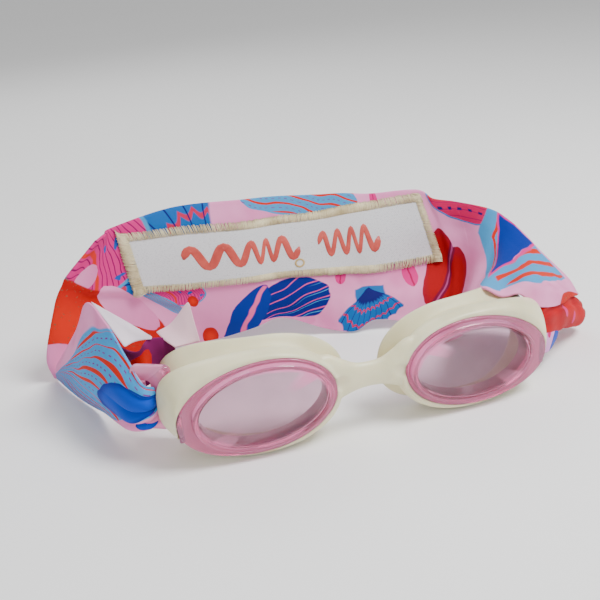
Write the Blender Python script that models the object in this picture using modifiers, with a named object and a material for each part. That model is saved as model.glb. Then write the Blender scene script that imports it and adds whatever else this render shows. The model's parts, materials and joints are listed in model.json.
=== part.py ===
"""Swim goggles with a wide fabric strap, lying on a table.

Units are metres and +Z is up. The wearer looks along -Y, so the wearer's left is +X.
Everything is laid out in the goggles' own frame (origin midway between the two lens rims, at
their front) under one empty, which moves that frame so that the world origin is at the bottom
centre of the whole object.

The strap lies inside out, as it does when the goggles are put down: its printed outer face,
with the sewn patch, looks back over the eyepieces. It swings about the line through the two
lug slots, and its back stretches away from the eyepieces.
"""

import math

import bmesh
import bpy
from mathutils import Matrix, Vector

# --- Driving dimensions -------------------------------------------------------------------
ORIGIN_SHIFT = Vector((0.0004, -0.0542, 0.0200))  # goggles' frame to the bottom centre of the box
EYE_OFFSET = 0.0408       # lens centre from the middle of the nose bridge
WRAP = math.radians(2.0)  # each lens plane turns back towards the temple
DROOP = math.radians(5.2)  # each lens oval drops towards the temple
GAP = 0.0003              # clearance between pieces that touch
AROUND = 48               # points round an oval

WINDOW = (0.0234, 0.0143)        # half width and half height of the flat lens window
RIM = (0.0256, 0.0162)           # the raised ring round the window
FLANGE = (0.0273, 0.0180)        # the flange that the frame holds
FLANGE_TEMPLE = 0.0312           # the flange reaches further at the temple, to carry the lug
COLLAR = (0.0254, 0.0162)        # the collar that plugs into the frame
COLLAR_WALL = 0.0014
RIM_STEP = 0.0022                # the window stands this far in front of the flange
FLANGE_BACK = 0.0036
COLLAR_BACK = 0.0092
WINDOW_THICK = 0.0018

TABLE_Z = -0.0200                # the table, below the middle of the lenses
FRAME_BACK = 0.0100              # where the frame ends and the face seal starts
SEAL_DEPTH = 0.0155              # the seal's lip, at the nose
SEAL_TEMPLE_DEPTH = 0.0280       # and at the temple, where the face curves back

BRIDGE_Z = 0.0030
BRIDGE_SECTIONS = (              # x, middle y, half depth, middle z, half height
    (0.0000, 0.0046, 0.0026, BRIDGE_Z, 0.0050),
    (0.0050, 0.0047, 0.0028, BRIDGE_Z, 0.0055),
    (0.0095, 0.0050, 0.0033, BRIDGE_Z + 0.0003, 0.0074),
    (0.0150, 0.0055, 0.0036, BRIDGE_Z + 0.0008, 0.0100),
    (0.0205, 0.0057, 0.0034, BRIDGE_Z + 0.0010, 0.0098),
)

SLOT_CENTRE = Vector((0.0790, 0.0200, 0.0040))  # the lug's slot, on the wearer's left
LUG_ANGLE = math.radians(27.0)   # the lug's plate leans back by this much
LUG_THICK = 0.0022
LUG_HEIGHT = 0.0260
LUG_ROOT, LUG_TIP = -0.0100, 0.0048
SLOT_HALF, SLOT_HEIGHT = 0.0022, 0.0190
ARM_U = (0.0288, 0.0308)         # the arm that joins the flange to the lug's plate
ARM_Z = (-0.0085, 0.0030)
ARM_BACK = 0.0150                # the arm ends inside the lug's plate
ARM_SLOT_BACK = 0.0200           # and its slot in the frame goes right through

FABRIC = 0.0016                  # the strap is a flattened tube: two layers of swim fabric
LOOP_WALL = 0.0018
LOOP_HEIGHT = 0.0160

BARTACK_THICK = 0.0008

PATCH_S = (0.2667, 0.6667)       # the patch's ends, as shares of the strap back's length
PATCH_T = (0.50, 0.93)           # and its edges, as shares of the strap's width
PATCH_THICK = 0.0009
BORDER_THICK = 0.0017
WAVE_RADIUS, RING_RADIUS = 0.0007, 0.0005  # the motif's embroidered lines

# The strap's back, from the wearer's right to the left: lower edge, middle and upper edge.
BACK_STATIONS = (
    ((-0.0985, 0.0580, -0.0150), (-0.1035, 0.0570, -0.0040), (-0.1040, 0.0600, 0.0080)),
    ((-0.1060, 0.0760, -0.0180), (-0.1085, 0.0740, -0.0060), (-0.1060, 0.0780, 0.0120)),
    ((-0.1100, 0.0915, -0.0188), (-0.1110, 0.0905, 0.0000), (-0.1000, 0.0920, 0.0270)),
    ((-0.0950, 0.0980, -0.0191), (-0.0965, 0.0960, 0.0080), (-0.0840, 0.0965, 0.0390)),
    ((-0.0660, 0.1010, -0.0192), (-0.0737, 0.1000, 0.0110), (-0.0774, 0.1025, 0.0415)),
    ((-0.0450, 0.1000, -0.0185), (-0.0475, 0.0990, 0.0100), (-0.0500, 0.1080, 0.0440)),
    ((-0.0220, 0.0915, -0.0118), (-0.0210, 0.0960, 0.0100), (-0.0180, 0.1080, 0.0430)),
    ((-0.0050, 0.0885, -0.0110), (-0.0040, 0.0950, 0.0090), (0.0000, 0.1075, 0.0420)),
    ((0.0170, 0.0835, -0.0188), (0.0190, 0.0905, 0.0080), (0.0240, 0.1045, 0.0402)),
    ((0.0318, 0.0800, -0.0148), (0.0370, 0.0880, 0.0080), (0.0400, 0.1010, 0.0383)),
    ((0.0540, 0.0720, -0.0182), (0.0650, 0.0865, 0.0080), (0.0600, 0.0965, 0.0380)),
    ((0.0600, 0.0560, -0.0080), (0.0750, 0.0740, 0.0090), (0.0760, 0.0870, 0.0325)),
    ((0.0650, 0.0420, 0.0060), (0.0830, 0.0600, 0.0140), (0.0905, 0.0730, 0.0285)),
    ((0.0770, 0.0360, 0.0100), (0.0920, 0.0500, 0.0150), (0.0985, 0.0610, 0.0180)),
    ((0.0900, 0.0360, 0.0060), (0.1000, 0.0440, 0.0080), (0.1060, 0.0520, 0.0080)),
    ((0.1010, 0.0380, 0.0010), (0.1070, 0.0430, 0.0010), (0.1110, 0.0470, -0.0005)),
)
# The strap's sides, from the lug outwards, in the same three points.
RIGHT_SIDE_STATIONS = (
    ((-0.0872, 0.0230, -0.0070), (-0.0872, 0.0235, 0.0030), (-0.0872, 0.0260, 0.0120)),
    ((-0.0930, 0.0280, -0.0060), (-0.0950, 0.0320, 0.0050), (-0.0890, 0.0340, 0.0210)),
    ((-0.1000, 0.0400, -0.0040), (-0.1010, 0.0430, 0.0100), (-0.0905, 0.0430, 0.0320)),
    ((-0.1020, 0.0500, -0.0080), (-0.1070, 0.0500, 0.0000), (-0.1050, 0.0510, 0.0120)),
)
LEFT_SIDE_STATIONS = (
    ((0.0872, 0.0210, -0.0070), (0.0872, 0.0220, 0.0010), (0.0872, 0.0240, 0.0090)),
    ((0.0920, 0.0240, -0.0110), (0.0920, 0.0280, -0.0060), (0.0920, 0.0330, -0.0010)),
    ((0.1000, 0.0290, -0.0130), (0.1000, 0.0350, -0.0100), (0.1020, 0.0420, -0.0080)),
    ((0.1090, 0.0330, -0.0110), (0.1110, 0.0370, -0.0100), (0.1120, 0.0430, -0.0080)),
)
# The gathered strap ends in a short tail beside each loop: lower edge, middle and upper edge.
RIGHT_TAIL_STATIONS = (
    ((-0.0815, 0.0280, -0.0030), (-0.0810, 0.0284, 0.0060), (-0.0805, 0.0286, 0.0120)),
    ((-0.0800, 0.0320, 0.0080), (-0.0775, 0.0335, 0.0135), (-0.0770, 0.0350, 0.0200)),
    ((-0.0720, 0.0330, 0.0200), (-0.0705, 0.0350, 0.0235), (-0.0690, 0.0370, 0.0270)),
    ((-0.0660, 0.0360, 0.0310), (-0.0650, 0.0362, 0.0325), (-0.0640, 0.0365, 0.0340)),
)
LEFT_TAIL_STATIONS = (
    ((0.0815, 0.0280, -0.0080), (0.0810, 0.0284, -0.0020), (0.0805, 0.0286, 0.0060)),
    ((0.0790, 0.0310, -0.0110), (0.0780, 0.0320, -0.0030), (0.0770, 0.0330, 0.0050)),
    ((0.0740, 0.0350, -0.0080), (0.0720, 0.0365, -0.0010), (0.0700, 0.0380, 0.0050)),
)

CREAM = (0.86, 0.85, 0.72)
PINK = (0.93, 0.32, 0.55)
PRINT_PINK = (0.90, 0.55, 0.72)
THREAD = (0.85, 0.79, 0.62)
TWILL = (0.88, 0.88, 0.86)
CORAL = (0.72, 0.16, 0.12)
GOLD = (0.75, 0.58, 0.28)


# --- Scene, materials and small helpers ---------------------------------------------------
def clear_scene():
    for old in list(bpy.data.objects):
        bpy.data.objects.remove(old)


def collection(name):
    made = bpy.data.collections.new(name)
    bpy.context.scene.collection.children.link(made)
    return made


def material(name, colour, roughness, alpha=1.0):
    made = bpy.data.materials.new(name)
    made.use_nodes = True
    shader = made.node_tree.nodes["Principled BSDF"]
    shader.inputs["Base Color"].default_value = (*colour, 1.0)
    shader.inputs["Roughness"].default_value = roughness
    shader.inputs["Metallic"].default_value = 0.0
    shader.inputs["Alpha"].default_value = alpha
    return made


def empty(name, place, parent, turn=0.0):
    made = bpy.data.objects.new(name, None)
    parts.objects.link(made)
    made.parent = parent
    made.location = place
    made.rotation_euler.z = turn
    return made


def mesh_object(name, mesh, look, parent, group=None):
    made = bpy.data.objects.new(name, mesh)
    (group or parts).objects.link(made)
    made.parent = parent
    if look:
        mesh.materials.append(look)
    return made


def smooth(mesh):
    mesh.shade_smooth()
    mesh.set_sharp_from_angle(angle=math.radians(40))


def cutter_from(name, mesh, parent):
    made = mesh_object(name, mesh, None, parent, cutters)
    made.hide_render = True
    made.display_type = "WIRE"
    return made


def boolean(target, other, operation):
    step = target.modifiers.new(operation.lower() + "_" + other.name, "BOOLEAN")
    step.operation = operation
    step.object = other


def loft(name, rings, closed_profile=False):
    """A skin through rings of equally many points: capped at both ends, or joined into a tube
    whose last ring meets the first."""
    mesh = bpy.data.meshes.new(name)
    shape = bmesh.new()
    loops = [[shape.verts.new(point) for point in ring] for ring in rings]
    count = len(loops[0])
    pairs = list(zip(loops, loops[1:]))
    if closed_profile:
        pairs.append((loops[-1], loops[0]))
    for near, far in pairs:
        for i in range(count):
            j = (i + 1) % count
            shape.faces.new((near[i], near[j], far[j], far[i]))
    if not closed_profile:
        shape.faces.new(list(reversed(loops[0])))
        shape.faces.new(loops[-1])
    bmesh.ops.recalc_face_normals(shape, faces=shape.faces)
    shape.to_mesh(mesh)
    shape.free()
    smooth(mesh)
    return mesh


def mesh_from_curve(made):
    """The curve object's evaluated shape as a welded mesh; the curve is removed."""
    bpy.context.view_layer.update()
    graph = bpy.context.evaluated_depsgraph_get()
    mesh = bpy.data.meshes.new_from_object(made.evaluated_get(graph))
    shape = bmesh.new()
    shape.from_mesh(mesh)
    bmesh.ops.remove_doubles(shape, verts=shape.verts, dist=1e-6)
    bmesh.ops.recalc_face_normals(shape, faces=shape.faces)
    shape.to_mesh(mesh)
    shape.free()
    bpy.data.objects.remove(made)
    return mesh


def rounded_box(low, high, radius, steps=3):
    """The corners of an upright rounded rectangle, as points from bottom right round to top right."""
    centres = (
        (high[0] - radius, low[1] + radius, -math.pi / 2),
        (high[0] - radius, high[1] - radius, 0.0),
        (low[0] + radius, high[1] - radius, math.pi / 2),
        (low[0] + radius, low[1] + radius, math.pi),
    )
    points = []
    for across, up, start in centres:
        for i in range(steps + 1):
            angle = start + i / steps * math.pi / 2
            points.append((across + radius * math.cos(angle), up + radius * math.sin(angle)))
    return points


def plate(name, outlines, thickness):
    """A flat plate in XY with the given outline and holes, its middle at z 0, as a mesh."""
    curve = bpy.data.curves.new(name, "CURVE")
    curve.dimensions = "2D"
    curve.fill_mode = "BOTH"
    curve.extrude = thickness / 2
    for outline in outlines:
        line = curve.splines.new("POLY")
        line.points.add(len(outline) - 1)
        for point, (x, y) in zip(line.points, outline):
            point.co = (x, y, 0.0, 1.0)
        line.use_cyclic_u = True
    made = bpy.data.objects.new(name, curve)
    parts.objects.link(made)
    return mesh_from_curve(made)


# --- Eyepieces ----------------------------------------------------------------------------
# An eyepiece is laid out in its own frame: u towards the temple, w back towards the face and v
# up. side is +1 for the wearer's left and -1 for the right, where u is mirrored.
def oval(side, w, nose, temple, up, down, powers=(2.0, 2.0, 2.0), droop=0.0):
    """Points round an oval with its own reach each way. powers say how square it is: at the
    nose, above the temple and below the temple. w is its depth, or a function of u and v."""
    at_nose, above, below = powers
    points = []
    for i in range(AROUND):
        angle = 2 * math.pi * i / AROUND
        c, s = math.cos(angle), math.sin(angle)
        power = at_nose if c <= 0 else above if s > 0 else below
        u = math.copysign(abs(c) ** (2 / power), c) * (temple if c > 0 else nose)
        v = math.copysign(abs(s) ** (2 / power), s) * (up if s > 0 else down)
        depth = w(u, v) if callable(w) else w
        turned_u = u * math.cos(droop) + v * math.sin(droop)
        turned_v = v * math.cos(droop) - u * math.sin(droop)
        points.append((side * turned_u, depth, turned_v))
    return points


def lens_oval(side, w, half, grow=0.0, temple=None):
    wide, tall = half[0] + grow, half[1] + grow
    return oval(side, w, wide, (temple or half[0]) + grow, tall, tall, droop=DROOP)


def lens_mesh(name, side):
    inner = (COLLAR[0] - COLLAR_WALL, COLLAR[1] - COLLAR_WALL)
    groove = (0.0264, 0.0170)
    rings = [
        lens_oval(side, 0.0, WINDOW),
        lens_oval(side, 0.0002, RIM, -0.0006),
        lens_oval(side, 0.0007, RIM),
        lens_oval(side, RIM_STEP, groove),
        lens_oval(side, RIM_STEP, FLANGE, temple=FLANGE_TEMPLE, grow=-0.0003),
        lens_oval(side, RIM_STEP + 0.0003, FLANGE, temple=FLANGE_TEMPLE),
        lens_oval(side, FLANGE_BACK, FLANGE, temple=FLANGE_TEMPLE),
        lens_oval(side, FLANGE_BACK, COLLAR),
        lens_oval(side, COLLAR_BACK, COLLAR),
        lens_oval(side, COLLAR_BACK, inner),
        lens_oval(side, WINDOW_THICK, inner, -0.0008),
    ]
    return loft(name, rings)


def arm_box(side, grow, back):
    """The straight arm from the flange's back towards the lug."""
    low, high = (ARM_U[0] - grow, ARM_Z[0] - grow), (ARM_U[1] + grow, ARM_Z[1] + grow)
    outline = [(side * u, v) for u, v in rounded_box(low, high, 0.0008)]
    return [[(u, w, v) for u, v in outline] for w in (FLANGE_BACK - GAP - grow, back)]


def lug_mesh(name):
    """The lug's plate in its own frame: x along the plate, y up and z across its thickness."""
    half = LUG_HEIGHT / 2
    outer = rounded_box((LUG_ROOT, -half), (LUG_TIP, half), 0.0024)
    slot = rounded_box((-SLOT_HALF, -SLOT_HEIGHT / 2), (SLOT_HALF, SLOT_HEIGHT / 2), 0.0015)
    return plate(name, (outer, slot), LUG_THICK)


def lug_matrix(side):
    """Places a piece laid out as lug_mesh is, in the goggles' frame."""
    along = Vector((side * math.cos(LUG_ANGLE), math.sin(LUG_ANGLE), 0.0))
    up = Vector((0.0, 0.0, 1.0))
    across = along.cross(up)
    turn = Matrix((along, up, across)).transposed().to_4x4()
    centre = Vector((side * SLOT_CENTRE.x, SLOT_CENTRE.y, SLOT_CENTRE.z))
    return Matrix.Translation(centre) @ turn


def make_lens(side, word, eyepiece):
    lens = mesh_object("lens_" + word, lens_mesh("lens_" + word, side), pink_plastic, eyepiece)
    name = "lens_arm_" + word
    arm = cutter_from(name, loft(name, arm_box(side, 0.0, ARM_BACK)), eyepiece)
    name = "lens_lug_" + word
    lug = cutter_from(name, lug_mesh(name), goggles)
    lug.matrix_basis = lug_matrix(side)
    boolean(lens, arm, "UNION")
    boolean(lens, lug, "UNION")


def frame_outer(side):
    """The frame round one eye as a filled body, front to back."""
    rings = [
        oval(side, 0.0022, 0.0286, 0.0318, 0.0192, 0.0190, (2.0, 2.2, 2.05)),
        oval(side, 0.0036, 0.0294, 0.0322, 0.0201, 0.0197, (2.0, 2.5, 2.05)),
        oval(side, 0.0062, 0.0296, 0.0327, 0.0206, 0.0202, (2.1, 2.8, 2.1)),
        oval(side, FRAME_BACK, 0.0288, 0.0331, 0.0198, 0.0203, (2.1, 3.0, 2.1)),
    ]
    return rings


def recess_mesh(name, side):
    """The stepped hole that the lens sits in: the flange's seat, then the collar's bore."""
    rings = [
        lens_oval(side, -0.0100, FLANGE, GAP, FLANGE_TEMPLE),
        lens_oval(side, FLANGE_BACK + GAP, FLANGE, GAP, FLANGE_TEMPLE),
        lens_oval(side, FLANGE_BACK + GAP, COLLAR, GAP),
        lens_oval(side, 0.0300, COLLAR, GAP),
    ]
    return loft(name, rings)


def bridge_mesh(name):
    """A saddle from one eyepiece to the other, through upright ovals that grow towards them."""
    halves = [section for section in BRIDGE_SECTIONS if section[0] > 0]
    sections = [(-x, *rest) for x, *rest in reversed(halves)] + list(BRIDGE_SECTIONS)
    rings = []
    for x, mid_y, half_y, mid_z, half_z in sections:
        ring = []
        for i in range(AROUND // 2):
            angle = 4 * math.pi * i / AROUND
            ring.append((x, mid_y + half_y * math.cos(angle), mid_z + half_z * math.sin(angle)))
        rings.append(ring)
    return loft(name, rings)


def make_frame(eyepieces):
    frame = mesh_object("frame", bridge_mesh("frame"), cream_rubber, goggles)
    for side, word, eyepiece in eyepieces:
        name = "frame_rim_" + word
        rim = cutter_from(name, loft(name, frame_outer(side)), eyepiece)
        boolean(frame, rim, "UNION")
    for side, word, eyepiece in eyepieces:
        name = "lens_recess_" + word
        recess = cutter_from(name, recess_mesh(name, side), eyepiece)
        name = "arm_recess_" + word
        arm = cutter_from(name, loft(name, arm_box(side, GAP, ARM_SLOT_BACK)), eyepiece)
        boolean(frame, recess, "DIFFERENCE")
        boolean(frame, arm, "DIFFERENCE")
    bpy.ops.mesh.primitive_cube_add(size=1.0)
    table = bpy.context.object
    table.name = "table_cut"
    table.scale = (0.3, 0.3, 0.02)
    table.location = (0.0, 0.0, TABLE_Z - 0.01)
    for group in table.users_collection:
        group.objects.unlink(table)
    cutters.objects.link(table)
    table.parent = goggles
    table.hide_render = True
    table.display_type = "WIRE"
    boolean(frame, table, "DIFFERENCE")
    return table


def seal_depth(u, v):
    """How far back the seal's lip is: it follows the face round the temple."""
    share = max(0.0, (u + 0.004) / 0.036)
    return SEAL_DEPTH + (SEAL_TEMPLE_DEPTH - SEAL_DEPTH) * share**1.8


def make_seal(side, word, eyepiece, table):
    """A soft skirt: a thin wall that flares from the frame's back to a rolled lip."""
    start = FRAME_BACK + GAP
    waist_depth = lambda u, v: 0.55 * start + 0.45 * seal_depth(u, v)
    lip_in_depth = lambda u, v: seal_depth(u, v) - 0.0004
    inner_depth = lambda u, v: 0.45 * start + 0.55 * seal_depth(u, v)
    rings = [
        oval(side, start, 0.0272, 0.0280, 0.0184, 0.0184, (2.1, 2.4, 2.2)),
        oval(side, waist_depth, 0.0290, 0.0282, 0.0190, 0.0188, (2.2, 2.6, 2.3)),
        oval(side, seal_depth, 0.0338, 0.0326, 0.0218, 0.0205, (2.3, 2.9, 2.4)),
        oval(side, lip_in_depth, 0.0322, 0.0310, 0.0202, 0.0190, (2.3, 2.9, 2.4)),
        oval(side, inner_depth, 0.0268, 0.0268, 0.0172, 0.0170, (2.2, 2.6, 2.3)),
        oval(side, start, 0.0254, 0.0262, 0.0166, 0.0166, (2.1, 2.4, 2.2)),
    ]
    mesh = loft("seal_" + word, rings, closed_profile=True)
    seal = mesh_object("seal_" + word, mesh, cream_rubber, eyepiece)
    boolean(seal, table, "DIFFERENCE")


# --- Strap --------------------------------------------------------------------------------
def spline(points, share):
    """A point on the Catmull-Rom curve through points, at a share of the way along them."""
    at = share * (len(points) - 1)
    i = min(int(at), len(points) - 2)
    f = at - i
    p0, p1, p2, p3 = (points[max(0, min(len(points) - 1, i + k))] for k in (-1, 0, 1, 2))
    return (
        p1 * 2
        + (p2 - p0) * f
        + (p0 * 2 - p1 * 5 + p2 * 4 - p3) * f**2
        + (p1 * 3 - p0 - p2 * 3 + p3) * f**3
    ) / 2


def strap_point(stations, s, t):
    """A point on the strap's middle surface: s along it, t from its lower to its upper edge."""
    low, middle, high = (spline([Vector(station[k]) for station in stations], s) for k in range(3))
    bow = middle - (low + high) / 2
    return low.lerp(high, t) + bow * (4 * t * (1 - t))


def strap_normal(stations, s, t):
    """The unit normal on the printed side, which looks back over the eyepieces."""
    step = 0.002
    s0, s1, t0, t1 = max(0, s - step), min(1, s + step), max(0, t - step), min(1, t + step)
    along = strap_point(stations, s1, t) - strap_point(stations, s0, t)
    up = strap_point(stations, s, t1) - strap_point(stations, s, t0)
    return along.cross(up).normalized()


def sheet(name, stations, columns, rows, parent, thick, keep=None, s=(0, 1), t=(0, 1), lift=0.0):
    """A panel of the strap as a grid on its surface, given its thickness by Solidify."""
    shape = bmesh.new()
    grid = []
    for i in range(columns + 1):
        along = s[0] + (s[1] - s[0]) * i / columns
        line = []
        for j in range(rows + 1):
            up = t[0] + (t[1] - t[0]) * j / rows
            point = strap_point(stations, along, up)
            if lift:
                point = point + strap_normal(stations, along, up) * lift
            line.append(shape.verts.new(point))
        grid.append(line)
    for i in range(columns):
        for j in range(rows):
            if keep is None or keep(i, j):
                shape.faces.new((grid[i][j], grid[i + 1][j], grid[i + 1][j + 1], grid[i][j + 1]))
    for lone in [v for v in shape.verts if not v.link_faces]:
        shape.verts.remove(lone)
    mesh = bpy.data.meshes.new(name)
    shape.to_mesh(mesh)
    shape.free()
    smooth(mesh)
    made = mesh_object(name, mesh, None, parent)
    skin = made.modifiers.new("thickness", "SOLIDIFY")
    skin.thickness = thick
    skin.offset = 0.0
    skin.use_even_offset = True
    return made


def make_loop(side, word):
    """The gathered strap end, wrapped round the lug's outer bar through the slot."""
    bar_in, bar_out = SLOT_HALF - GAP, LUG_TIP + GAP
    half = LUG_THICK / 2 + GAP
    low = (bar_in - LOOP_WALL, -half - LOOP_WALL)
    high = (bar_out + LOOP_WALL, half + LOOP_WALL)
    outer = rounded_box(low, high, 0.002)
    hole = rounded_box((bar_in, -half), (bar_out, half), 0.0006)
    name = "strap_loop_" + word
    loop = mesh_object(name, plate(name, (outer, hole), LOOP_HEIGHT), print_fabric, goggles)
    loop.matrix_basis = lug_matrix(side) @ Matrix.Rotation(-math.pi / 2, 4, "X")


def make_bartack(side, word):
    """The row of stitches that closes the loop, on its back face beside the bar."""
    half = LUG_THICK / 2 + GAP + LOOP_WALL + GAP
    outline = rounded_box((0.0012, -0.0065), (0.0058, 0.0065), 0.0008)
    name = "strap_bartack_" + word
    tack = mesh_object(name, plate(name, (outline,), BARTACK_THICK), thread, goggles)
    away = -side * (half + BARTACK_THICK / 2)
    tack.matrix_basis = lug_matrix(side) @ Matrix.Translation((0.0, 0.0, away))


def surface_curve(name, points, radius, look, parent, cyclic=False):
    """An embroidered line as a thin round cord through points on the patch."""
    curve = bpy.data.curves.new(name, "CURVE")
    curve.dimensions = "3D"
    curve.bevel_depth = radius
    curve.bevel_resolution = 1
    curve.use_fill_caps = not cyclic
    line = curve.splines.new("POLY")
    line.points.add(len(points) - 1)
    for point, place in zip(line.points, points):
        point.co = (*place, 1.0)
    line.use_cyclic_u = cyclic
    made = bpy.data.objects.new(name, curve)
    parts.objects.link(made)
    mesh_object(name, mesh_from_curve(made), look, parent)


def patch_point(across, up, lift):
    """A point on the patch: across and up are shares of its width and height."""
    s = PATCH_S[0] + (PATCH_S[1] - PATCH_S[0]) * across
    t = PATCH_T[0] + (PATCH_T[1] - PATCH_T[0]) * up
    return strap_point(BACK_STATIONS, s, t) + strap_normal(BACK_STATIONS, s, t) * lift


def make_patch(parent):
    """A twill patch with a thick satin-stitched border and a plain wave and ring motif."""
    columns, rows = 32, 8
    edge_i, edge_j = 0, 1
    base = FABRIC / 2 + GAP
    place = dict(s=PATCH_S, t=PATCH_T)
    inside = lambda i, j: edge_i < i < columns - 1 - edge_i and edge_j <= j < rows - edge_j
    border = sheet(
        "patch_border", BACK_STATIONS, columns, rows, parent, BORDER_THICK,
        keep=lambda i, j: not inside(i, j), lift=base + BORDER_THICK / 2, **place,
    )
    border.data.materials.append(cream_thread)
    inset_s = (PATCH_S[1] - PATCH_S[0]) * (edge_i + 1) / columns
    inset_t = (PATCH_T[1] - PATCH_T[0]) * edge_j / rows
    gap_s, gap_t = 0.0022, 0.006
    face = sheet(
        "patch_face", BACK_STATIONS, 30, 6, parent, PATCH_THICK,
        s=(PATCH_S[0] + inset_s + gap_s, PATCH_S[1] - inset_s - gap_s),
        t=(PATCH_T[0] + inset_t + gap_t, PATCH_T[1] - inset_t - gap_t),
        lift=base + PATCH_THICK / 2,
    )
    face.data.materials.append(twill)
    lift = base + PATCH_THICK + GAP + WAVE_RADIUS
    for name, start, end, waves in (("patch_wave_long", 0.12, 0.50, 6), ("patch_wave_short", 0.56, 0.88, 5)):
        steps = waves * 8
        points = []
        for i in range(steps + 1):
            share = i / steps
            up = 0.56 + 0.13 * math.sin(2 * math.pi * waves * share)
            points.append(patch_point(start + (end - start) * share, up, lift))
        surface_curve(name, points, WAVE_RADIUS, coral_thread, parent)
    ring = []
    for i in range(16):
        angle = 2 * math.pi * i / 16
        ring.append(patch_point(0.50 + 0.016 * math.cos(angle), 0.27 + 0.07 * math.sin(angle), lift))
    surface_curve("patch_ring", ring, RING_RADIUS, gold_thread, parent, cyclic=True)


# --- The goggles --------------------------------------------------------------------------
clear_scene()
parts = collection("swim_goggles")
cutters = collection("cutters")

cream_rubber = material("cream_rubber", CREAM, 0.45)
pink_plastic = material("pink_plastic", PINK, 0.08, alpha=0.5)
print_fabric = material("print_fabric", PRINT_PINK, 0.75)
white_fabric = material("white_fabric", (0.88, 0.84, 0.88), 0.8)
thread = material("thread", PRINT_PINK, 0.6)
cream_thread = material("cream_thread", THREAD, 0.5)
twill = material("twill", TWILL, 0.85)
coral_thread = material("coral_thread", CORAL, 0.6)
gold_thread = material("gold_thread", GOLD, 0.5)

goggles = empty("goggles_frame", ORIGIN_SHIFT, None)
strap_pivot = empty("strap_pivot", (0.0, SLOT_CENTRE.y, SLOT_CENTRE.z), goggles)
strap_sides = empty("strap_sides", (0.0, -SLOT_CENTRE.y, -SLOT_CENTRE.z), strap_pivot)
strap_back = empty("strap_back_slide", (0.0, 0.0, 0.0), strap_sides)

EYEPIECES = [
    (side, word, empty("eyepiece_" + word, (side * EYE_OFFSET, 0.0, 0.0), goggles, side * WRAP))
    for side, word in ((1, "left"), (-1, "right"))
]
table_cutter = make_frame(EYEPIECES)
for eye_side, eye_word, eye_empty in EYEPIECES:
    make_lens(eye_side, eye_word, eye_empty)
    make_seal(eye_side, eye_word, eye_empty, table_cutter)
    make_loop(eye_side, eye_word)
    make_bartack(eye_side, eye_word)

for panel_name, stations, columns, rows, panel_parent, look in (
    ("strap_back", BACK_STATIONS, 45, 8, strap_back, print_fabric),
    ("strap_side_right", RIGHT_SIDE_STATIONS, 10, 6, strap_sides, print_fabric),
    ("strap_side_left", LEFT_SIDE_STATIONS, 10, 6, strap_sides, print_fabric),
    ("strap_tail_right", RIGHT_TAIL_STATIONS, 8, 4, goggles, white_fabric),
    ("strap_tail_left", LEFT_TAIL_STATIONS, 6, 4, goggles, white_fabric),
):
    panel = sheet(panel_name, stations, columns, rows, panel_parent, FABRIC)
    panel.data.materials.append(look)
make_patch(strap_back)
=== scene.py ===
"""The looks of the swim goggles: eyepieces, strap, patch, materials, light and camera.

Sizes are in millimetres in the goggles' own frame, whose origin is midway between the fronts of
the two lenses; place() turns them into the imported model's metres. side is +1 for the wearer's
left (+X) and -1 for the right.
"""

import json
import math

import bmesh
import bpy
import numpy as np
from mathutils import Matrix, Vector


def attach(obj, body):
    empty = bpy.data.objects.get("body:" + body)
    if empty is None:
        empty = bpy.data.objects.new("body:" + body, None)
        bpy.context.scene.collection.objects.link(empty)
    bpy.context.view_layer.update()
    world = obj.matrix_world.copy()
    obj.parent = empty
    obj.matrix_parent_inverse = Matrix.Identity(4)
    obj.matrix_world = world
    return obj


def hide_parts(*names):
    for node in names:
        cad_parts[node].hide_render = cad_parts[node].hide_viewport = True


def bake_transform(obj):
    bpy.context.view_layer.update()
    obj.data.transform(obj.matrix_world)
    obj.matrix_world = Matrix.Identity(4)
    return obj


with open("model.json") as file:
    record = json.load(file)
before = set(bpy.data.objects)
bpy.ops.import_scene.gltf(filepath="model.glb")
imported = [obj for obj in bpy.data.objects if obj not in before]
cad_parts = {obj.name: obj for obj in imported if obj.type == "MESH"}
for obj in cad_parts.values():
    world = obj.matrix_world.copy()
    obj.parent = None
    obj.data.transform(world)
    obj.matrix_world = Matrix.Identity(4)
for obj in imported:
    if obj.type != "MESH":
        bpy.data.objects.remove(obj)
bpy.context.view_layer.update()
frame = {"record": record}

MM = 0.001
MOUNTS = {m["name"]: Vector(m["pos_m"]) for m in frame["record"]["mounts"]}
ORIGIN = np.array((MOUNTS["lens_front_right"] + MOUNTS["lens_front_left"]) / 2)
EYE_OFFSET = (MOUNTS["lens_front_left"] - MOUNTS["lens_front_right"]).x / 2 / MM
WRAP = math.radians(2.0)
DROOP = math.radians(5.2)
SIDES = ((1, "left"), (-1, "right"))
TABLE = -float(ORIGIN[2]) / MM
RANDOM = np.random.default_rng(7)


# --- Curves, surfaces and meshes ----------------------------------------------------------
def place(points):
    """Points in millimetres in the goggles' frame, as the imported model's metres."""
    return ORIGIN + np.asarray(points, float) * MM


def spline(points, shares):
    """The Catmull-Rom curve through points, at shares of the way along it."""
    points = np.asarray(points, float)
    ends = (2 * points[:1] - points[1:2], 2 * points[-1:] - points[-2:-1])
    padded = np.concatenate((ends[0], points, ends[1]))
    at = np.asarray(shares, float) * (len(points) - 1)
    i = np.minimum(at.astype(int), len(points) - 2)
    f = (at - i).reshape(-1, *[1] * (points.ndim - 1))
    p0, p1, p2, p3 = (padded[i + k] for k in range(4))
    bend = (2 * p0 - 5 * p1 + 4 * p2 - p3) * f**2 + (3 * p1 - p0 - 3 * p2 + p3) * f**3
    return (2 * p1 + (p2 - p0) * f + bend) / 2


def surface(net, s, t):
    """A grid of points on the smooth surface through a net of rows of control points."""
    rows = spline(np.asarray(net, float), s)
    return spline(rows.transpose(1, 0, 2), t).transpose(1, 0, 2)


def circle(count):
    """count angles spaced evenly round a circle."""
    return np.linspace(0, 2 * math.pi, count, endpoint=False)


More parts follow.
